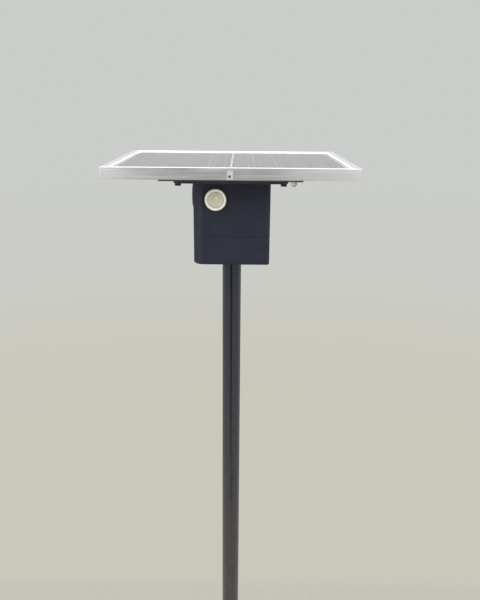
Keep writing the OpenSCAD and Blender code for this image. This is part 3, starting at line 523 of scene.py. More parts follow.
@dataclass(frozen=True)
class Silicon(Finish):
    """Silicon wafer, textured and nitride coated: dark blue crystals under fine printed silver fingers.

    Attributes:
        finger_mm: Pitch of the fingers; real ones are 2 mm apart, and these are as coarse as shows.
        finger_share: Width of a finger over its pitch.
        crystal_mm: Width of a crystal.
    """

    finger_mm: float = 3.6
    finger_share: float = 0.12
    crystal_mm: float = 7.0

    def pattern(self, coat: Coat) -> Socket:
        """Lay crystals of slightly different blue, crossed by the printed fingers.

        Args:
            coat: The material in the making.

        Returns:
            The shader's output.
        """
        tree = coat.tree
        crystal = add(tree, "TexVoronoi", {"Vector": coat.place, "Scale": per_metre(self.crystal_mm)})
        shade = add(tree, "SeparateXYZ", {0: crystal.outputs["Color"]}).outputs["X"]
        blues = {0: shade, 6: linear(self.colour), 7: linear(self.tint)}
        wafer = add(tree, "Mix", blues, data_type="RGBA").outputs[2]
        across = add(tree, "SeparateXYZ", {0: coat.place}).outputs["Y"]
        turns = add(tree, "Math", {0: across, 1: per_metre(self.finger_mm)}, operation="MULTIPLY").outputs[0]
        phase = add(tree, "Math", {0: turns}, operation="FRACT").outputs[0]
        finger = add(tree, "Math", {0: phase, 1: self.finger_share}, operation="LESS_THAN").outputs[0]
        ends = {0: finger, 6: wafer, 7: linear("#9a9da3")}
        colour = add(tree, "Mix", ends, data_type="RGBA").outputs[2]
        bump = add(tree, "Bump", {"Height": finger, "Distance": 0.02 * MM, "Strength": 0.5})
        return coat.lay(colour, self.uneven_gloss(coat, 20, 0.05), bump)


@dataclass(frozen=True)
class PaintedGlow(Finish):
    """Phosphor resin over a diode: matt and saturated, with a painted glow in its own colour that lifts it
    through the lens.

    Attributes:
        strength: Strength of the painted glow.
    """

    strength: float = 0.0

    def pattern(self, coat: Coat) -> Socket:
        """Lay grainy resin with a trace of light.

        Args:
            coat: The material in the making.

        Returns:
            Lay grainy resin with a trace of painted glow.
        """
        grit = add(coat.tree, "TexNoise", {"Vector": coat.place, "Scale": per_metre(0.25), "Detail": 2.0})
        height = grit.outputs["Fac"]
        bump = add(coat.tree, "Bump", {"Height": height, "Distance": 0.02 * MM, "Strength": 0.5})
        # Painted glow: the emission only lifts the yellow-green spot so that it shows through the frosted
        # lens.
        coat.shader.inputs["Emission Color"].default_value = linear(self.colour)
        coat.shader.inputs["Emission Strength"].default_value = self.strength
        return coat.lay(self.drift(coat, 0.8, 0.7), None, bump)


# Gloss enamel gives the pole its mirror-black stripes; the film over it turns it brown lower down.
POLE_ENAMEL = StoveEnamel("Black stove enamel, sprayed", "#0b1226", "#11172a", 0.12)
# Powder coat gives the bracket an even charcoal that shows as a thin dark line under the frame.
BRACKET_COAT = PowderCoat("Charcoal powder coat, baked", "#1d1d21", "#28282c", 0.5)
# Anodised bars give the frame a satin silver that picks up the ground in long soft streaks.
FRAME_ACROSS = Anodised("Anodised aluminium, drawn across", "#f1f0f1", "#e2e1e3", 0.36, 1.0, grain=Grain.X)
# The same bar, rubbed dull and pale round its drain hole.
FRAME_FRONT = replace(
    FRAME_ACROSS,
    name="Anodised aluminium, drawn across, rubbed at the drain",
    rub=(-1 * MM, CAD_BOX[1][2] - 9.3 * MM, 7.5 * MM, 11.5 * MM),
)
# Painted shade: the same bar in a greyer tone, so that the side bars, which face the brighter light, look
# less white.
FRAME_ALONG_SHADED = Anodised("Anodised aluminium, drawn along, painted shade", "#cbcbce", "#bcbcc0", 0.36, 1.0, grain=Grain.Y)
# Bare extrusion gives the heat sinks and corner keys a plain grey shine.
SINK_METAL = Anodised("Aluminium, extruded", "#c9cacc", "#b4b5b8", 0.35, 1.0, grain=Grain.Z)
# Rolled glass gives the panel its pale sheen from a low angle.
SOLAR_GLASS = Clear("Low-iron glass, rolled and tempered", "#fbfdfd", "#f1f6f5", 0.06, ior=1.5)
# Coated silicon gives the dark blue-grey field under the glass.
WAFER = Silicon("Silicon, nitride coated", "#1b2436", "#28324a", 0.3, ior=2.0)
# Tin gives the ribbons and links a dull silver line.
TINNED = Plated("Copper ribbon, tinned", "#a5a7aa", "#85878a", 0.45, 1.0, crystal_mm=0.8)
# Film gives the margins and the line between the halves their bright white.
BACK_FILM = Moulded("Fluoropolymer film, laminated", "#fafafa", "#f3f4f4", 0.45, ior=1.42, dust=0.0)
# Silicone gives the glass a clean white edge under the lip.
SEALANT = Moulded(
    "Silicone sealant, tooled white", "#f2f2ef", "#e9e9e4", 0.4, ior=1.41,
    pebble_mm=2.0, pebble_depth_mm=0.02, dust=0.1,
)
# Zinc gives hidden nuts and rods a pale, slightly yellow glint.
ZINC = Plated("Zinc on steel, bath plated", "#bbb8b0", "#928f86", 0.35, 1.0)
# Oxide gives the strap's bolts their near-black heads.
BLACK_OXIDE = Plated("Steel, black oxide", "#2b2b2d", "#1c1c1e", 0.4, 1.0)
# Yellow chromate gives the earth bolt its brassy tone.
CHROMATE = Plated("Steel, yellow chromate", "#b3a98c", "#8f8468", 0.4, 1.0)
# Moulded ABS gives the case its flat navy charcoal with a soft edge light.
CASE_ABS = Moulded("ABS, moulded navy charcoal", "#0d1225", "#12172b", 0.6, ior=1.46, dust=0.2)
# Opal polycarbonate gives the lamp rim its warm milky white.
RIM_PC = Moulded(
    "Polycarbonate, moulded opal", "#fbf8ef", "#f4f0e4", 0.35, ior=1.58, pebble_mm=0.6, dust=0.1, haze=0.3
)
# Frosted polycarbonate veils the cup, so that the lamp reads as one cream disc with a faint spot.
LENS_PC = Clear(
    "Polycarbonate, moulded frosted", "#f5f2ee", "#efece7", 0.05, ior=1.58,
    ripple_mm=1.2, ripple_depth_mm=0.01, milk=0.24,
)
# Phosphor gives the yellow-green spot in the middle of the lamp, lifted through the frosted lens by a painted
# glow.
PHOSPHOR = PaintedGlow("Phosphor resin, dispensed", "#b4d010", "#a3bf10", 0.55, ior=1.5, strength=0.9)
# Rubber gives seals and collars a deep matt black.
RUBBER = Moulded("EPDM rubber, moulded", "#141416", "#1d1d1f", 0.65, ior=1.52, pebble_mm=0.7, dust=0.25)
# Filled nylon gives the glands, box and plates a dry dark grey.
NYLON = Moulded("Glass-filled nylon, moulded", "#18191b", "#222326", 0.5, ior=1.53, pebble_mm=0.6)
# Extruded sheath gives the lead a soft satin black.
LEAD_SHEATH = Moulded(
    "PVC sheath, extruded black", "#17171a", "#202023", 0.4, ior=1.53, pebble_mm=1.5, pebble_depth_mm=0.01
)
# Thin insulation gives the inner wires their red.
WIRE_SHEATH = Moulded("PVC insulation, extruded red", "#8e1d19", "#701512", 0.35, ior=1.53, dust=0.0)
# Shrunk film gives the cells a tight glossy blue.
SHRINK_FILM = Moulded("PVC film, shrunk blue", "#2f6ea3", "#275d8c", 0.25, ior=1.53, pebble_mm=4.0, dust=0.0)
# Solder mask gives the board a glossy green with copper showing as lighter patches.
BOARD_MASK = Moulded(
    "Glass laminate, green solder mask", "#14542c", "#1d6b3a", 0.25, ior=1.55, pebble_mm=3.0, dust=0.0
)
# Moulded polyamide gives the terminals their brighter green.
TERMINAL_PA = Moulded("Polyamide, moulded green", "#2f8a52", "#277546", 0.4, ior=1.53, dust=0.0)


# ---------------------------------------------------------------- mesh tools


def dress(finish: Finish, *names: str) -> None:
    """Put one finish on CAD nodes.

    Args:
        finish: The finish.
        names: Names of the nodes.
    """
    for name in names:
        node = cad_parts[name]
        for slot in node.material_slots:
            slot.material = finish.material()
        LOG.info("%s: %s", name, finish.name)


def soften(width_mm: float, *names: str) -> None:
    """Round the sharp edges of CAD nodes by modifiers, so that they catch the light.

    Args:
        width_mm: Width of the rounding.
        names: Names of the nodes.
    """
    for name in names:
        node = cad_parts[name]
        weld = node.modifiers.new("one_skin", "WELD")
        weld.merge_threshold = 0.001 * MM
        edge = node.modifiers.new("edge_round", "BEVEL")
        edge.width = width_mm * MM
        edge.segments = 2
        edge.limit_method = "ANGLE"
        edge.angle_limit = math.radians(40)
        node.modifiers.new("even_light", "WEIGHTED_NORMAL")


def placed(name: str, mesh: bmesh.types.BMesh) -> bpy.types.Object:
    """Turn a mesh into an object of the scene.

    Args:
        name: Name of the object.
        mesh: Its mesh, in place, which is freed.

    Returns:
        The object.
    """
    data = bpy.data.meshes.new(name)
    mesh.to_mesh(data)
    mesh.free()
    made = bpy.data.objects.new(name, data)
    bpy.context.scene.collection.objects.link(made)
    return made


def smooth(made: bpy.types.Object, degrees: float) -> None:
    """Shade a piece smooth, but keep its edges crisp where its faces turn by more than an angle.

    Args:
        made: The piece.
        degrees: The angle.
    """
    for face in made.data.polygons:
        face.use_smooth = True
    made.data.set_sharp_from_angle(angle=math.radians(degrees))


def piece(name: str, mesh: bmesh.types.BMesh, finish: Finish, body: str) -> bpy.types.Object:
    """Turn a finished mesh into a named piece that rides on a body.

    Args:
        name: Name of the piece.
        mesh: Its mesh, in place, which is freed.
        finish: Its finish.
        body: The body that it moves with.

    Returns:
        The piece.
    """
    bmesh.ops.recalc_face_normals(mesh, faces=mesh.faces)
    made = placed(name, mesh)
    made.data.materials.append(finish.material())
    for face in made.data.polygons:
        face.use_smooth = True
    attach(made, body)
    LOG.info("%s: %d faces, %s, on %s", name, len(made.data.polygons), finish.name, body)
    return made


def skin(mesh: bmesh.types.BMesh, rings: list[list[Vector]], closed: bool) -> None:
    """Join rings of equal length by quads.

    Args:
        mesh: Mesh that the skin goes into.
        rings: Rings of points, in order.
        closed: True to join the last ring to the first, False to cap both ends.
    """
    made = [[mesh.verts.new(p) for p in ring] for ring in rings]
    count = len(rings[0])
    pairs = list(zip(made, made[1:])) + ([(made[-1], made[0])] if closed else [])
    for low, high in pairs:
        for k in range(count):
            n = (k + 1) % count
            mesh.faces.new((low[k], low[n], high[n], high[k]))
    if not closed:
        mesh.faces.new(made[0])
        mesh.faces.new(made[-1])


def swept(path: list[Vector], radii: list[float], sides: int) -> list[list[Vector]]:
    """Rings of a round section carried along a path.

    Args:
        path: Points along the middle.
        radii: Radius at each point.
        sides: Points in a ring.

    Returns:
        One ring for each point of the path.
    """
    rings = []
    up = Vector((0, 0, 1))
    for i, point in enumerate(path):
        ahead = path[min(i + 1, len(path) - 1)] - path[max(i - 1, 0)]
        side = up.cross(ahead)
        side = side.normalized() if side.length > 1e-9 else Vector((1, 0, 0))
        lift = ahead.normalized().cross(side)
        turns = [2 * math.pi * k / sides for k in range(sides)]
        rings.append([point + radii[i] * (side * math.cos(t) + lift * math.sin(t)) for t in turns])
    return rings


class Carving(Enum):
    """What a tool does to a piece."""

    ADD = "UNION"
    CUT = "DIFFERENCE"


def carve(made: bpy.types.Object, way: Carving, tool: bmesh.types.BMesh) -> None:
    """Add a tool's shape to a piece or cut it away, for good.

    Args:
        made: The piece.
        way: What the tool does.
        tool: The tool's mesh, which is freed.
    """
    cutter = placed("tool", tool)
    step = made.modifiers.new("carve", "BOOLEAN")
    step.operation, step.object, step.solver = way.value, cutter, "EXACT"
    bpy.context.view_layer.update()
    shaped = bpy.data.meshes.new_from_object(made.evaluated_get(bpy.context.evaluated_depsgraph_get()))
    made.modifiers.remove(step)
    made.data = shaped
    bpy.data.objects.remove(cutter)


def arc(centre: Vector, across: Vector, along: Vector, start: float, end: float, steps: int) -> list[Vector]:
    """Points of an arc.

    Args:
        centre: Middle of the arc.
        across: Radius vector at 0 degrees.
        along: Radius vector at 90 degrees.
        start: First angle, in degrees.
        end: Last angle, in degrees.
        steps: Number of equal steps.

    Returns:
        The points, with both ends.
    """
    angles = [math.radians(start + (end - start) * k / steps) for k in range(steps + 1)]
    return [centre + across * math.cos(a) + along * math.sin(a) for a in angles]


# ---------------------------------------------------------------- sub-assemblies


@dataclass
class Pole:
    """The pole on its base: tube, plate, ribs, top plug and the welds between them.

    Attributes:
        bead: Radius of a weld bead, which is round about the corner that it fills.
        ripple: Share by which the bead swells and narrows along its run.
        ripple_pitch: Distance between two ripples.
        pinch: Share of its radius that the bead keeps at its ends.
        rib: Thickness of a rib.
        stop: How far a bead stops short of a rib's end.
        clearance: Angle between a rib's face and the end of the bead beside it, in degrees.
        foot_steps: Steps along a quarter of the bead round the tube.
        sides: Points round a bead.
    """

    bead: float = 2.2 * MM
    ripple: float = 0.12
    ripple_pitch: float = 1.9 * MM
    pinch: float = 0.6
    rib: float = 4 * MM
    stop: float = 1 * MM
    clearance: float = 3.0
    foot_steps: int = 60
    sides: int = 8

    def build(self) -> None:
        """Dress the CAD pieces and lay the welds."""
        dress(POLE_ENAMEL, "pole_tube", "base_plate", "gussets")
        dress(NYLON, "pole_cap")
        soften(0.8, "base_plate")
        soften(0.4, "gussets")
        self.welds()

    def rippled(self, path: list[Vector]) -> list[float]:
        """Work out the bead's radius along its path, pinched at both ends.

        Args:
            path: Points along the bead.

        Returns:
            The radius at each point.
        """
        radii = []
        walked = 0.0
        for i, point in enumerate(path):
            walked += (point - path[i - 1]).length if i else 0.0
            wave = math.sin(2 * math.pi * walked / self.ripple_pitch)
            radii.append(self.bead * (1 + self.ripple * wave))
        radii[0] = radii[-1] = self.bead * self.pinch
        return radii

    def welds(self) -> None:
        """Lay beads round the foot of the tube and along both sides of each rib."""
        outer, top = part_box("gussets")[1].x - self.stop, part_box("gussets")[1].z - self.stop
        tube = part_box("pole_tube")[1].x
        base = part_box("base_plate")[1].z
        rib = self.rib / 2
        clear = math.degrees(math.asin(rib / tube)) + self.clearance
        mesh = bmesh.new()
        for quarter in range(4):
            turn = Matrix.Rotation(math.radians(90 * quarter), 4, "Z")
            axes = Vector((tube, 0, 0)), Vector((0, tube, 0))
            runs = [arc(Vector((0, 0, base)), *axes, clear, 90 - clear, self.foot_steps)]
            for side in (-1, 1):
                y = side * rib
                out = [Vector((tube + self.bead, y, base)), Vector((outer, y, base))]
                rise = [Vector((tube, y, base + self.bead)), Vector((tube, y, top))]
                runs += [self.dense(out), self.dense(rise)]
            for run in runs:
                path = [turn @ p for p in run]
                skin(mesh, swept(path, self.rippled(path), self.sides), closed=False)
        piece("foot_welds", mesh, POLE_ENAMEL, "pole")

    def dense(self, ends: list[Vector]) -> list[Vector]:
        """Set points four to a ripple along a straight run, with both its ends."""
        steps = max(2, round((ends[1] - ends[0]).length / (self.ripple_pitch / 4)))
        return [ends[0].lerp(ends[1], k / steps) for k in range(steps + 1)]


@dataclass
class Bracket:
    """The carrier plate with its straps, socket and fasteners."""

    def build(self) -> None:
        """Dress the CAD pieces."""
        dress(BRACKET_COAT, "carrier_plate", "front_strap", "rear_strap", "pole_socket")
        dress(BLACK_OXIDE, "frame_bolts")
        dress(CHROMATE, "earth_bolt")
        dress(ZINC, "frame_nuts", "earth_washer", "earth_nut", "clamp_screws")
        soften(0.4, "carrier_plate", "front_strap", "rear_strap")
        soften(0.3, "frame_bolts", "earth_bolt", "frame_nuts")


@dataclass
class SolarPanel:
    """The framed panel, with the tinned ribbons that join its cells.

    Attributes:
        ribbons: Ribbons along each column.
        ribbon: Width of a ribbon.
        busbar: Width of a cross ribbon in the margin.
        thickness: Thickness of a ribbon.
        proud: Share of the thickness that stands above the cells.
        overrun: How far the ribbons run past the cells.
        lip: Width of the frame's lip over the glass.
        bead: Width of the bead of sealant beside the lip.
        tuck: How far the bead reaches under the lip.
        sunk: How far it is set into the glass, so that no gap shows.
        toe: Height of its thin edge over the glass.
        shy: How far its top stays below the lip's.
    """

    ribbons: int = 2
    ribbon: float = 0.9 * MM
    busbar: float = 2.4 * MM
    thickness: float = 0.15 * MM
    proud: float = 0.7
    overrun: float = 3.5 * MM
    lip: float = 10 * MM
    bead: float = 1.6 * MM
    tuck: float = 0.2 * MM
    sunk: float = 0.1 * MM
    toe: float = 0.06 * MM
    shy: float = 0.15 * MM

    def build(self) -> None:
        """Dress the CAD pieces, lay the ribbons and run the sealant."""
        dress(FRAME_FRONT, "frame_front")
        dress(FRAME_ACROSS, "frame_rear")
        # The side bars take the greyer copy of the bar: painted shade.
        dress(FRAME_ALONG_SHADED, "frame_left", "frame_right")
        dress(SINK_METAL, "corner_keys")
        dress(SOLAR_GLASS, "panel_glass")
        dress(WAFER, "solar_cells")
        dress(BACK_FILM, "backsheet")
        soften(0.35, "frame_front", "frame_rear", "frame_left", "frame_right")
        self.lay_ribbons()
        self.run_sealant()

    def run_sealant(self) -> None:
        """Run a hollow-faced bead of sealant round the glass, in the corner under the frame's lip."""
        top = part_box("panel_glass")[1].z
        lip_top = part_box("frame_front")[1].z
        half_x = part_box("frame_right")[1].x - self.lip
        half_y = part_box("frame_rear")[1].y - self.lip
        height = lip_top - top - self.shy
        # The face is hollow: it drops steeply beside the lip and flattens towards the glass.
        face = [(self.bead * 0.5, height * 0.35), (0.25 * MM, height * 0.8)]
        rings = []
        for sx, sy in ((-1, -1), (1, -1), (1, 1), (-1, 1)):
            corner = Vector((sx * half_x, sy * half_y, 0))
            inward = Vector((-sx, -sy, 0))
            section = [(-self.tuck, -self.sunk), (self.bead, -self.sunk), (self.bead, self.toe)]
            section += [*face, (-self.tuck, height)]
            rings.append([corner + inward * u + Vector((0, 0, top + v)) for u, v in section])
        mesh = bmesh.new()
        skin(mesh, rings, closed=True)
        made = piece("glass_sealant", mesh, SEALANT, "head")
        smooth(made, 40)

    def strip(self, mesh: bmesh.types.BMesh, low: Vector, high: Vector) -> None:
        """Add one flat ribbon with rounded edges.

        Args:
            mesh: Mesh that it goes into.
            low: Its lowest corner.
            high: Its highest corner.
        """
        width = min(high.x - low.x, high.y - low.y)
        round_off = min(self.thickness * 0.45, width / 4)
        made = bmesh.ops.create_cube(mesh, size=1.0)
        for vert in made["verts"]:
            vert.co = Vector([low[i] + (vert.co[i] + 0.5) * (high[i] - low[i]) for i in range(3)])
        edges = {edge for vert in made["verts"] for edge in vert.link_edges}
        bmesh.ops.bevel(mesh, geom=list(edges), offset=round_off, segments=2, profile=0.5, affect="EDGES")

    def lay_ribbons(self) -> None:
        """Lay ribbons along every column, and cross ribbons that join the columns in pairs."""
        low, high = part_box("solar_cells")
        starts, cell = self.columns()
        top = high.z + self.thickness * self.proud
        base = top - self.thickness
        mesh = bmesh.new()
        for start in starts:
            for k in range(self.ribbons):
                x = start + cell * (k + 0.5) / self.ribbons
                foremost = Vector((x - self.ribbon / 2, low.y - self.overrun, base))
                self.strip(mesh, foremost, Vector((x + self.ribbon / 2, high.y + self.overrun, top)))
        for i, start in enumerate(starts[:-1]):
            front = i % 2 == 0
            y = low.y - self.overrun if front else high.y + self.overrun
            x0 = start + cell * 0.5 / self.ribbons - self.ribbon
            x1 = starts[i + 1] + cell * (self.ribbons - 0.5) / self.ribbons + self.ribbon
            half = self.busbar / 2
            self.strip(mesh, Vector((x0, y - half, base)), Vector((x1, y + half, top)))
        piece("cell_ribbons", mesh, TINNED, "head")

    def columns(self) -> tuple[list[float], float]:
        """Read the left edge of every column of cells, and the width of a cell, from their mesh."""
        xs = sorted({round(v.co.x, 5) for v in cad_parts["solar_cells"].data.vertices})
        return xs[0::2], xs[1] - xs[0]


@dataclass
class PanelFeed:
    """The junction box and the lead from it into the case.

    Attributes:
        radius: Radius of the lead.
        bend: Radius of its last bend, inside the case.
        steps: Steps in each arc.
        sides: Points round the lead.
    """

    radius: float = 2.3 * MM
    bend: float = 10 * MM
    steps: int = 24
    sides: int = 24

    def build(self) -> None:
        """Dress the CAD pieces and sweep the lead."""
        dress(NYLON, "junction_box", "junction_lid", "case_gland", "gland_nut")
        dress(RUBBER, "junction_gland")
        soften(0.6, "junction_box", "junction_lid")
        soften(0.3, "case_gland", "gland_nut")
        self.lead()

    def route(self) -> list[Vector]:
        """Find the lead's middle line: level, down by two arcs, level, and round to its terminals.

        Returns:
            Points along it.
        """
        low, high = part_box("panel_lead")
        y = low.y + self.radius
        top, bottom = high.z - self.radius, low.z + self.radius
        x_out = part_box("junction_gland")[0].x
        x_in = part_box("case_gland")[1].x
        run, fall = x_out - x_in, top - bottom
        bend = (run * run + fall * fall) / (4 * fall)
        turn = math.degrees(math.asin(run / 2 / bend))
        x_axis, y_axis, z_axis = Vector((1, 0, 0)), Vector((0, 1, 0)), Vector((0, 0, 1))
        x_end = low.x + self.radius
        first = arc(Vector((x_out, y, top - bend)), x_axis * bend, z_axis * bend, 90, 90 + turn, self.steps)
        middle = Vector((x_in, y, bottom + bend))
        second = arc(middle, x_axis * bend, z_axis * bend, 270 + turn, 270, self.steps)
        corner = Vector((x_end + self.bend, y + self.bend, bottom))
        third = arc(corner, x_axis * self.bend, y_axis * self.bend, 270, 180, self.steps)
        return [Vector((high.x, y, top)), *first, *second[1:], *third, Vector((x_end, high.y, bottom))]

    def lead(self) -> None:
        """Sweep the lead's sheath along its route."""
        path = self.route()
        mesh = bmesh.new()
        skin(mesh, swept(path, [self.radius] * len(path), self.sides), closed=False)
        made = piece("panel_lead_sheath", mesh, LEAD_SHEATH, "head")
        smooth(made, 50)
        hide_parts("panel_lead")


@dataclass
class Case:
    """The moulded case: shell, lower cover, their seal, and the rods that hang them.

    Attributes:
        nose: Radius of the two upright edges at the left end.
        back: Radius of the two upright edges at the right end.
        wall: Wall of the moulding, and of its floor.
        tongue: Thickness of the tongue on the cover's rim.
        tongue_height: Height of the tongue.
        tightest: Smallest radius that an inner corner keeps.
        foot_round: Radius of the cover's lower outer edge.
        edge_round: Radius of its small edges.
        hole: Radius of the pole's hole.
        screw_reach: Distance of the two screws from the pole's axis.
        boss: Radius and height of a screw boss.
        well: Radius and depth of the well round a screw's head.
        screw_hole: Radius of a screw's hole.
        arc_steps: Steps in each rounded upright edge.
        foot_steps: Steps in the rounded lower edge.
        rod_sides: Points round a rod that shapes a boss, a well or a hole.
        past: How far a cut runs past the face that it opens.
    """

    nose: float = 16 * MM
    back: float = 5 * MM
    wall: float = 3 * MM
    tongue: float = 1.2 * MM
    tongue_height: float = 4 * MM
    tightest: float = 0.5 * MM
    foot_round: float = 3 * MM
    edge_round: float = 0.3 * MM
    hole: float = 18 * MM
    screw_reach: float = 42 * MM
    boss: tuple[float, float] = (5 * MM, 8 * MM)
    well: tuple[float, float] = (4 * MM, 3.2 * MM)
    screw_hole: float = 2.1 * MM
    arc_steps: int = 14
    foot_steps: int = 8
    rod_sides: int = 36
    past: float = 1 * MM

    def build(self) -> None:
        """Dress the CAD pieces and mould the lower cover."""
        dress(CASE_ABS, "case_shell", "lower_cover")
        dress(RUBBER, "case_gasket", "pole_seal")
        dress(ZINC, "tie_rods", "rod_nuts", "cover_screws")
        soften(0.4, "case_shell")
        soften(0.3, "pole_seal")
        self.cover()

    def plan(self, inset: float, z: float) -> list[Vector]:
        """Ring of points round the cover at one height, drawn in from its outside.

        Args:
            inset: How far it is drawn in.
            z: Height.

        Returns:
            The ring, anticlockwise from the front right corner.
        """
        low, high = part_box("lower_cover")
        half_w, half_d = high.x - inset, high.y - inset
        ring = []
        for sx, sy, radius, start in (
            (1, -1, self.back, 270),
            (1, 1, self.back, 0),
            (-1, 1, self.nose, 90),
            (-1, -1, self.nose, 180),
        ):
            r = max(radius - inset, self.tightest)
            centre = Vector((sx * (half_w - r), sy * (half_d - r), z))
            ring += arc(centre, Vector((r, 0, 0)), Vector((0, r, 0)), start, start + 90, self.arc_steps)
        return ring

    def circle(self, radius: float, z: float) -> list[Vector]:
        """Draw a ring round the pole's axis whose points face those of the plan."""
        return [Vector((p.x, p.y, 0)).normalized() * radius + Vector((0, 0, z)) for p in self.plan(0, 0)]

    def profile(self) -> list[list[Vector]]:
        """Draw the cover from the hole's lower edge out, up, over the tongue and back in.

        Returns:
            Its rings, in order.
        """
        low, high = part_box("lower_cover")
        rim, top = high.z - self.tongue_height, high.z
        floor = low.z + self.wall
        e, r, lap = self.edge_round, self.foot_round, self.wall - self.tongue
        rings = [self.circle(self.hole, low.z + e), self.circle(self.hole + e, low.z)]
        for k in range(self.foot_steps + 1):
            a = math.radians(90 * k / self.foot_steps)
            rings.append(self.plan(r * (1 - math.sin(a)), low.z + r * (1 - math.cos(a))))
        rings += [self.plan(0, rim - e), self.plan(e * 0.3, rim - e * 0.3), self.plan(e, rim)]
        rings += [self.plan(lap, rim), self.plan(lap, top - e), self.plan(lap + e, top)]
        rings += [self.plan(self.wall - e, top), self.plan(self.wall, top - e)]
        rings += [self.plan(self.wall, floor + 2 * e), self.plan(self.wall + 2 * e, floor)]
        rings += [self.circle(self.hole + e, floor), self.circle(self.hole, floor - e)]
        return rings

    def rod(self, radius: float, y: float, low: float, high: float) -> bmesh.types.BMesh:
        """Turn an upright rod in front of or behind the pole, which adds a boss or cuts a hole.

        Args:
            radius: Radius of the rod.
            y: Its place along Y.
            low: Height of its lower end.
            high: Height of its upper end.

        Returns:
            The rod's mesh.
        """
        mesh = bmesh.new()
        axes = Vector((radius, 0, 0)), Vector((0, radius, 0))
        last = 360 - 360 / self.rod_sides
        rings = [arc(Vector((0, y, z)), *axes, 0, last, self.rod_sides - 1) for z in (low, high)]
        skin(mesh, rings, closed=False)
        bmesh.ops.recalc_face_normals(mesh, faces=mesh.faces)
        return mesh

    def cover(self) -> None:
        """Mould the cover, add its two bosses, and cut their wells and holes."""
        z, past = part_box("lower_cover")[0].z, self.past
        mesh = bmesh.new()
        skin(mesh, self.profile(), closed=True)
        made = piece("cover_moulding", mesh, CASE_ABS, "cover")
        steps = []
        for y in (-self.screw_reach, self.screw_reach):
            steps.append((Carving.ADD, self.rod(self.boss[0], y, z + self.wall / 2, z + self.boss[1])))
            steps.append((Carving.CUT, self.rod(self.well[0], y, z - past, z + self.well[1])))
            steps.append((Carving.CUT, self.rod(self.screw_hole, y, z + past, z + self.boss[1] + past)))
        for way, tool in steps:
            carve(made, way, tool)
        smooth(made, 30)
        made.modifiers.new("even_light", "WEIGHTED_NORMAL").keep_sharp = True
        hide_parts("lower_cover")


@dataclass
class Lamps:
    """The three round lamps."""

    def build(self) -> None:
        """Dress the CAD pieces."""
        for side in ("front", "left", "rear"):
            dress(RIM_PC, f"{side}_lamp_bezel")
            dress(LENS_PC, f"{side}_lamp_lens")
        dress(RIM_PC, "lamp_reflectors")
        dress(RUBBER, "lamp_gaskets")
        dress(NYLON, "lamp_nuts")
        dress(BACK_FILM, "led_boards")
        dress(PHOSPHOR, "led_emitters")
        dress(SINK_METAL, "lamp_heat_sinks")


@dataclass
class Battery:
    """The battery stack round the pole."""

    def build(self) -> None:
        """Dress the CAD pieces."""
        dress(SHRINK_FILM, "battery_cells")
        dress(NYLON, "upper_cell_plate", "lower_cell_plate")
        dress(TINNED, "cell_links")


@dataclass
class Controller:
    """The charge controller and its wires."""

    def build(self) -> None:
        """Dress the CAD pieces."""
        dress(BOARD_MASK, "controller_board")
        dress(NYLON, "board_parts")
        dress(TERMINAL_PA, "terminal_strip")
        dress(ZINC, "board_screws")
        dress(WIRE_SHEATH, "inner_wiring")


@dataclass
class Switch:
    """The push-button switch on the rear wall."""

    def build(self) -> None:
        """Dress the CAD pieces."""
        dress(NYLON, "switch_body")
        dress(ZINC, "switch_nut", "switch_button")
        soften(0.3, "switch_button", "switch_body")


# ---------------------------------------------------------------- studio


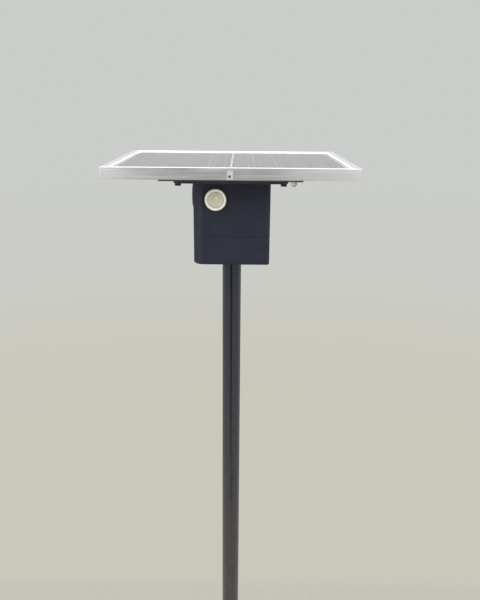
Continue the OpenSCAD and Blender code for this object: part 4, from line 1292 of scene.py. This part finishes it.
@dataclass
class Studio:
    """The floor, the sky, the black cards and the soft lights.

    Attributes:
        reach: Half-width of the floor.
        wall_line: Distance behind the pole at which the floor's tone turns to the backdrop's.
        edge_blur: Depth of the blur along that line.
        backdrop: Colour behind the object's top, sRGB hex.
        backdrop_low: Colour behind the object's foot, sRGB hex.
        ground: Darker colour of the floor, sRGB hex.
        ground_light: Lighter colour of the floor, sRGB hex.
        daylight: Strength of the sky.
        sky_tones: Tones of the sky, from straight down at 0 to overhead at 1, sRGB hex.
        flag_width: Width of the black card in front.
    """

    reach: float = 4.0
    wall_line: float = 0.553
    edge_blur: float = 0.03
    backdrop: str = "#cbcdca"
    backdrop_low: str = "#cac8bb"
    ground: str = "#908e86"
    ground_light: str = "#a3a199"
    daylight: float = 1.53
    sky_tones: tuple[tuple[float, str], ...] = (
        (0.3, "#b9b6ae"),
        (0.44, "#a9a7a2"),
        (0.49, "#b0b0ae"),
        (0.54, "#b7b8b7"),
        (0.62, "#c9caca"),
        (0.72, "#fdfdfd"),
    )
    flag_width: float = 0.45

    def build(self) -> None:
        """Lay the floor, light the sky, stand the cards and hang the lights."""
        self.floor()
        self.sky()
        self.flag("front_flag", (-0.07, -1.16, 0.85), (90, 0, 0), self.flag_width, 1.55)
        # Painted shadow: a dark card lying on the floor stands in for the shadow of the person in front, seen
        # only in the pole's gloss as the lower end of its dark line.
        self.flag("painted_shadow_flag", (0.2, -1.06, 0.01), (0, 0, 0), 0.6, 0.2)
        # Painted shade: the cards behind stand in for the shaded wall, seen only in the pole's gloss, where
        # they darken its edges.
        for side in (-1, 1):
            self.flag(f"painted_shade_flag_{side}", (side * 0.55, 0.65, 0.55), (90, 0, side * 41), 1.1, 1.15)
        self.softbox("overhead_softbox", (0.0, -0.2, 3.4), (0, 0, 0), 2.6, 24.0)
        for name, side, power in (("left_softbox", -1, 46.0), ("right_softbox", 1, 30.0)):
            self.softbox(name, (side * 2.3, -2.3, 1.9), (70, 0, side * 45), 1.6, power)

    def flag(self, name: str, place: Triple, turn: Triple, width: float, height: float) -> None:
        """Stand a black card that only gloss mirrors: it draws the dark lines down the pole and the frame.

        Args:
            name: Name of the card.
            place: Its middle.
            turn: Its rotation, in degrees.
            width: Its width.
            height: Its height.
        """
        mesh = bmesh.new()
        bmesh.ops.create_grid(mesh, x_segments=1, y_segments=1, size=0.5)
        made = placed(name, mesh)
        made.scale = (width, height, 1.0)
        made.rotation_euler = [math.radians(a) for a in turn]
        made.location = place
        made.visible_camera = made.visible_shadow = made.visible_diffuse = False
        made.data.materials.append(self.duvetyne())

    def duvetyne(self) -> bpy.types.Material:
        """Black napped cloth of the cards.

        Returns:
            The material.
        """
        name = "Black duvetyne, napped"
        known = bpy.data.materials.get(name)
        if known:
            return known
        cloth = blank(name)
        tree = cloth.node_tree
        nap = add(tree, "TexNoise", {"Scale": per_metre(4)}).outputs["Fac"]
        ends = {0: nap, 6: linear("#242428"), 7: linear("#323236")}
        dark = add(tree, "Mix", ends, data_type="RGBA").outputs[2]
        add(tree, "OutputMaterial", {"Surface": add(tree, "BsdfDiffuse", {"Color": dark}).outputs[0]})
        return cloth

    def floor(self) -> None:
        """Lay a plain pale floor that fades into the backdrop."""
        mesh = bmesh.new()
        bmesh.ops.create_grid(mesh, x_segments=8, y_segments=8, size=self.reach)
        made = placed("floor", mesh)
        made.data.materials.append(self.floor_paint())

    def floor_paint(self) -> bpy.types.Material:
        """Matt floor paint: the ground's tone near the lamp, the even backdrop beyond, open at the rim.

        Returns:
            The material.
        """
        made = blank("Floor, matt paint")
        tree = made.node_tree
        place = add(tree, "TexCoord").outputs["Object"]
        back = add(tree, "SeparateXYZ", {0: place}).outputs["Y"]
        edge = add(tree, "TexNoise", {"Vector": place, "Scale": per_metre(60), "Detail": 5.0}).outputs["Fac"]
        wander = add(tree, "Math", {0: edge, 1: self.edge_blur, 2: back}, operation="MULTIPLY_ADD").outputs[0]
        line = {"From Min": self.wall_line, "From Max": self.wall_line + self.edge_blur}
        beyond = add(tree, "MapRange", {"Value": wander, **line})
        grit = {"Vector": place, "Scale": per_metre(9), "Detail": 6.0, "Roughness": 0.7}
        speckle = add(tree, "TexNoise", grit).outputs["Fac"]
        tones = {0: speckle, 6: linear(self.ground), 7: linear(self.ground_light)}
        tone = add(tree, "Mix", tones, data_type="RGBA").outputs[2]
        far = add(tree, "VectorMath", {0: place}, operation="LENGTH")
        fade = add(tree, "MapRange", {"Value": far.outputs["Value"], "From Min": 1.6, "From Max": 3.6})
        matt = add(tree, "BsdfDiffuse", {"Color": tone})
        even = add(tree, "Emission", {"Color": linear(self.backdrop_low)})
        laid = add(tree, "MixShader", {0: beyond.outputs["Result"], 1: matt.outputs[0], 2: even.outputs[0]})
        gone = add(tree, "BsdfTransparent")
        mixed = add(tree, "MixShader", {0: fade.outputs["Result"], 1: laid.outputs[0], 2: gone.outputs[0]})
        add(tree, "OutputMaterial", {"Surface": mixed.outputs[0]})
        return made

    def sky(self) -> None:
        """Soft sky: bright overhead, as bright as a pale wall at the horizon, dim below it."""
        world = bpy.data.worlds.new("soft_sky")
        bpy.context.scene.world = world
        world.use_nodes = True
        tree = world.node_tree
        tree.nodes.clear()
        height = add(tree, "SeparateXYZ", {0: add(tree, "TexCoord").outputs["Generated"]}).outputs["Z"]
        climb = add(tree, "MapRange", {"Value": height, "From Min": -1.0}).outputs["Result"]
        ramp = add(tree, "ValToRGB", {0: climb})
        stops = ramp.color_ramp.elements
        stops[0].position, stops[0].color = 0.0, linear("#8f8c85")
        stops[1].position, stops[1].color = 1.0, linear("#ffffff")
        for place, tone in self.sky_tones:
            stops.new(place).color = linear(tone)
        light = add(tree, "Background", {"Color": ramp.outputs["Color"], "Strength": self.daylight})
        fall = add(tree, "MapRange", {"Value": height, "From Min": -0.12, "From Max": -0.62})
        tones = {0: fall.outputs["Result"], 6: linear(self.backdrop), 7: linear(self.backdrop_low)}
        wall = add(tree, "Mix", tones, data_type="RGBA").outputs[2]
        seen = add(tree, "Background", {"Color": wall, "Strength": 1.0})
        camera = add(tree, "LightPath").outputs["Is Camera Ray"]
        mixed = add(tree, "MixShader", {0: camera, 1: light.outputs[0], 2: seen.outputs[0]})
        add(tree, "OutputWorld", {"Surface": mixed.outputs[0]})

    def softbox(self, name: str, place: Triple, turn: Triple, size: float, power: float) -> None:
        """Hang one square soft light.

        Args:
            name: Name of the light.
            place: Where it hangs.
            turn: Its rotation, in degrees.
            size: Side of its face.
            power: Power in watts.
        """
        data = bpy.data.lights.new(name, "AREA")
        data.shape = "SQUARE"
        data.size = size
        data.energy = power
        made = bpy.data.objects.new(name, data)
        made.location = place
        made.rotation_euler = [math.radians(a) for a in turn]
        bpy.context.scene.collection.objects.link(made)


@dataclass
class Viewpoint:
    """The camera: held at eye height, a little right of the pole, tilted down.

    Attributes:
        place: Where it is.
        tilt: Angle down from level, in degrees.
        roll: Clockwise lean of the picture, in degrees.
        lens: Focal length on a 36 mm long side, in millimetres.
    """

    place: Triple = (0.0138, -1.0, 1.377)
    tilt: float = 17.54
    roll: float = 0.5
    lens: float = 38.1

    def build(self) -> None:
        """Make the camera and look through it."""
        data = bpy.data.cameras.new("camera")
        data.lens = self.lens
        data.sensor_width = 36.0
        made = bpy.data.objects.new("camera", data)
        down = Matrix.Rotation(math.radians(90 - self.tilt), 4, "X")
        lean = Matrix.Rotation(math.radians(self.roll), 4, "Z")
        made.matrix_world = Matrix.Translation(self.place) @ down @ lean
        bpy.context.scene.collection.objects.link(made)
        bpy.context.scene.camera = made
        bpy.context.scene.view_settings.view_transform = "Standard"


def main() -> None:
    """Build the camera, the lamp's sub-assemblies and the studio in order."""
    logging.basicConfig(level=logging.INFO, format="%(message)s")
    lamp = (Pole(), Bracket(), SolarPanel(), PanelFeed(), Case(), Lamps(), Battery(), Controller(), Switch())
    for part in (Viewpoint(), *lamp, Studio()):
        part.build()


if __name__ == "__main__":
    main()
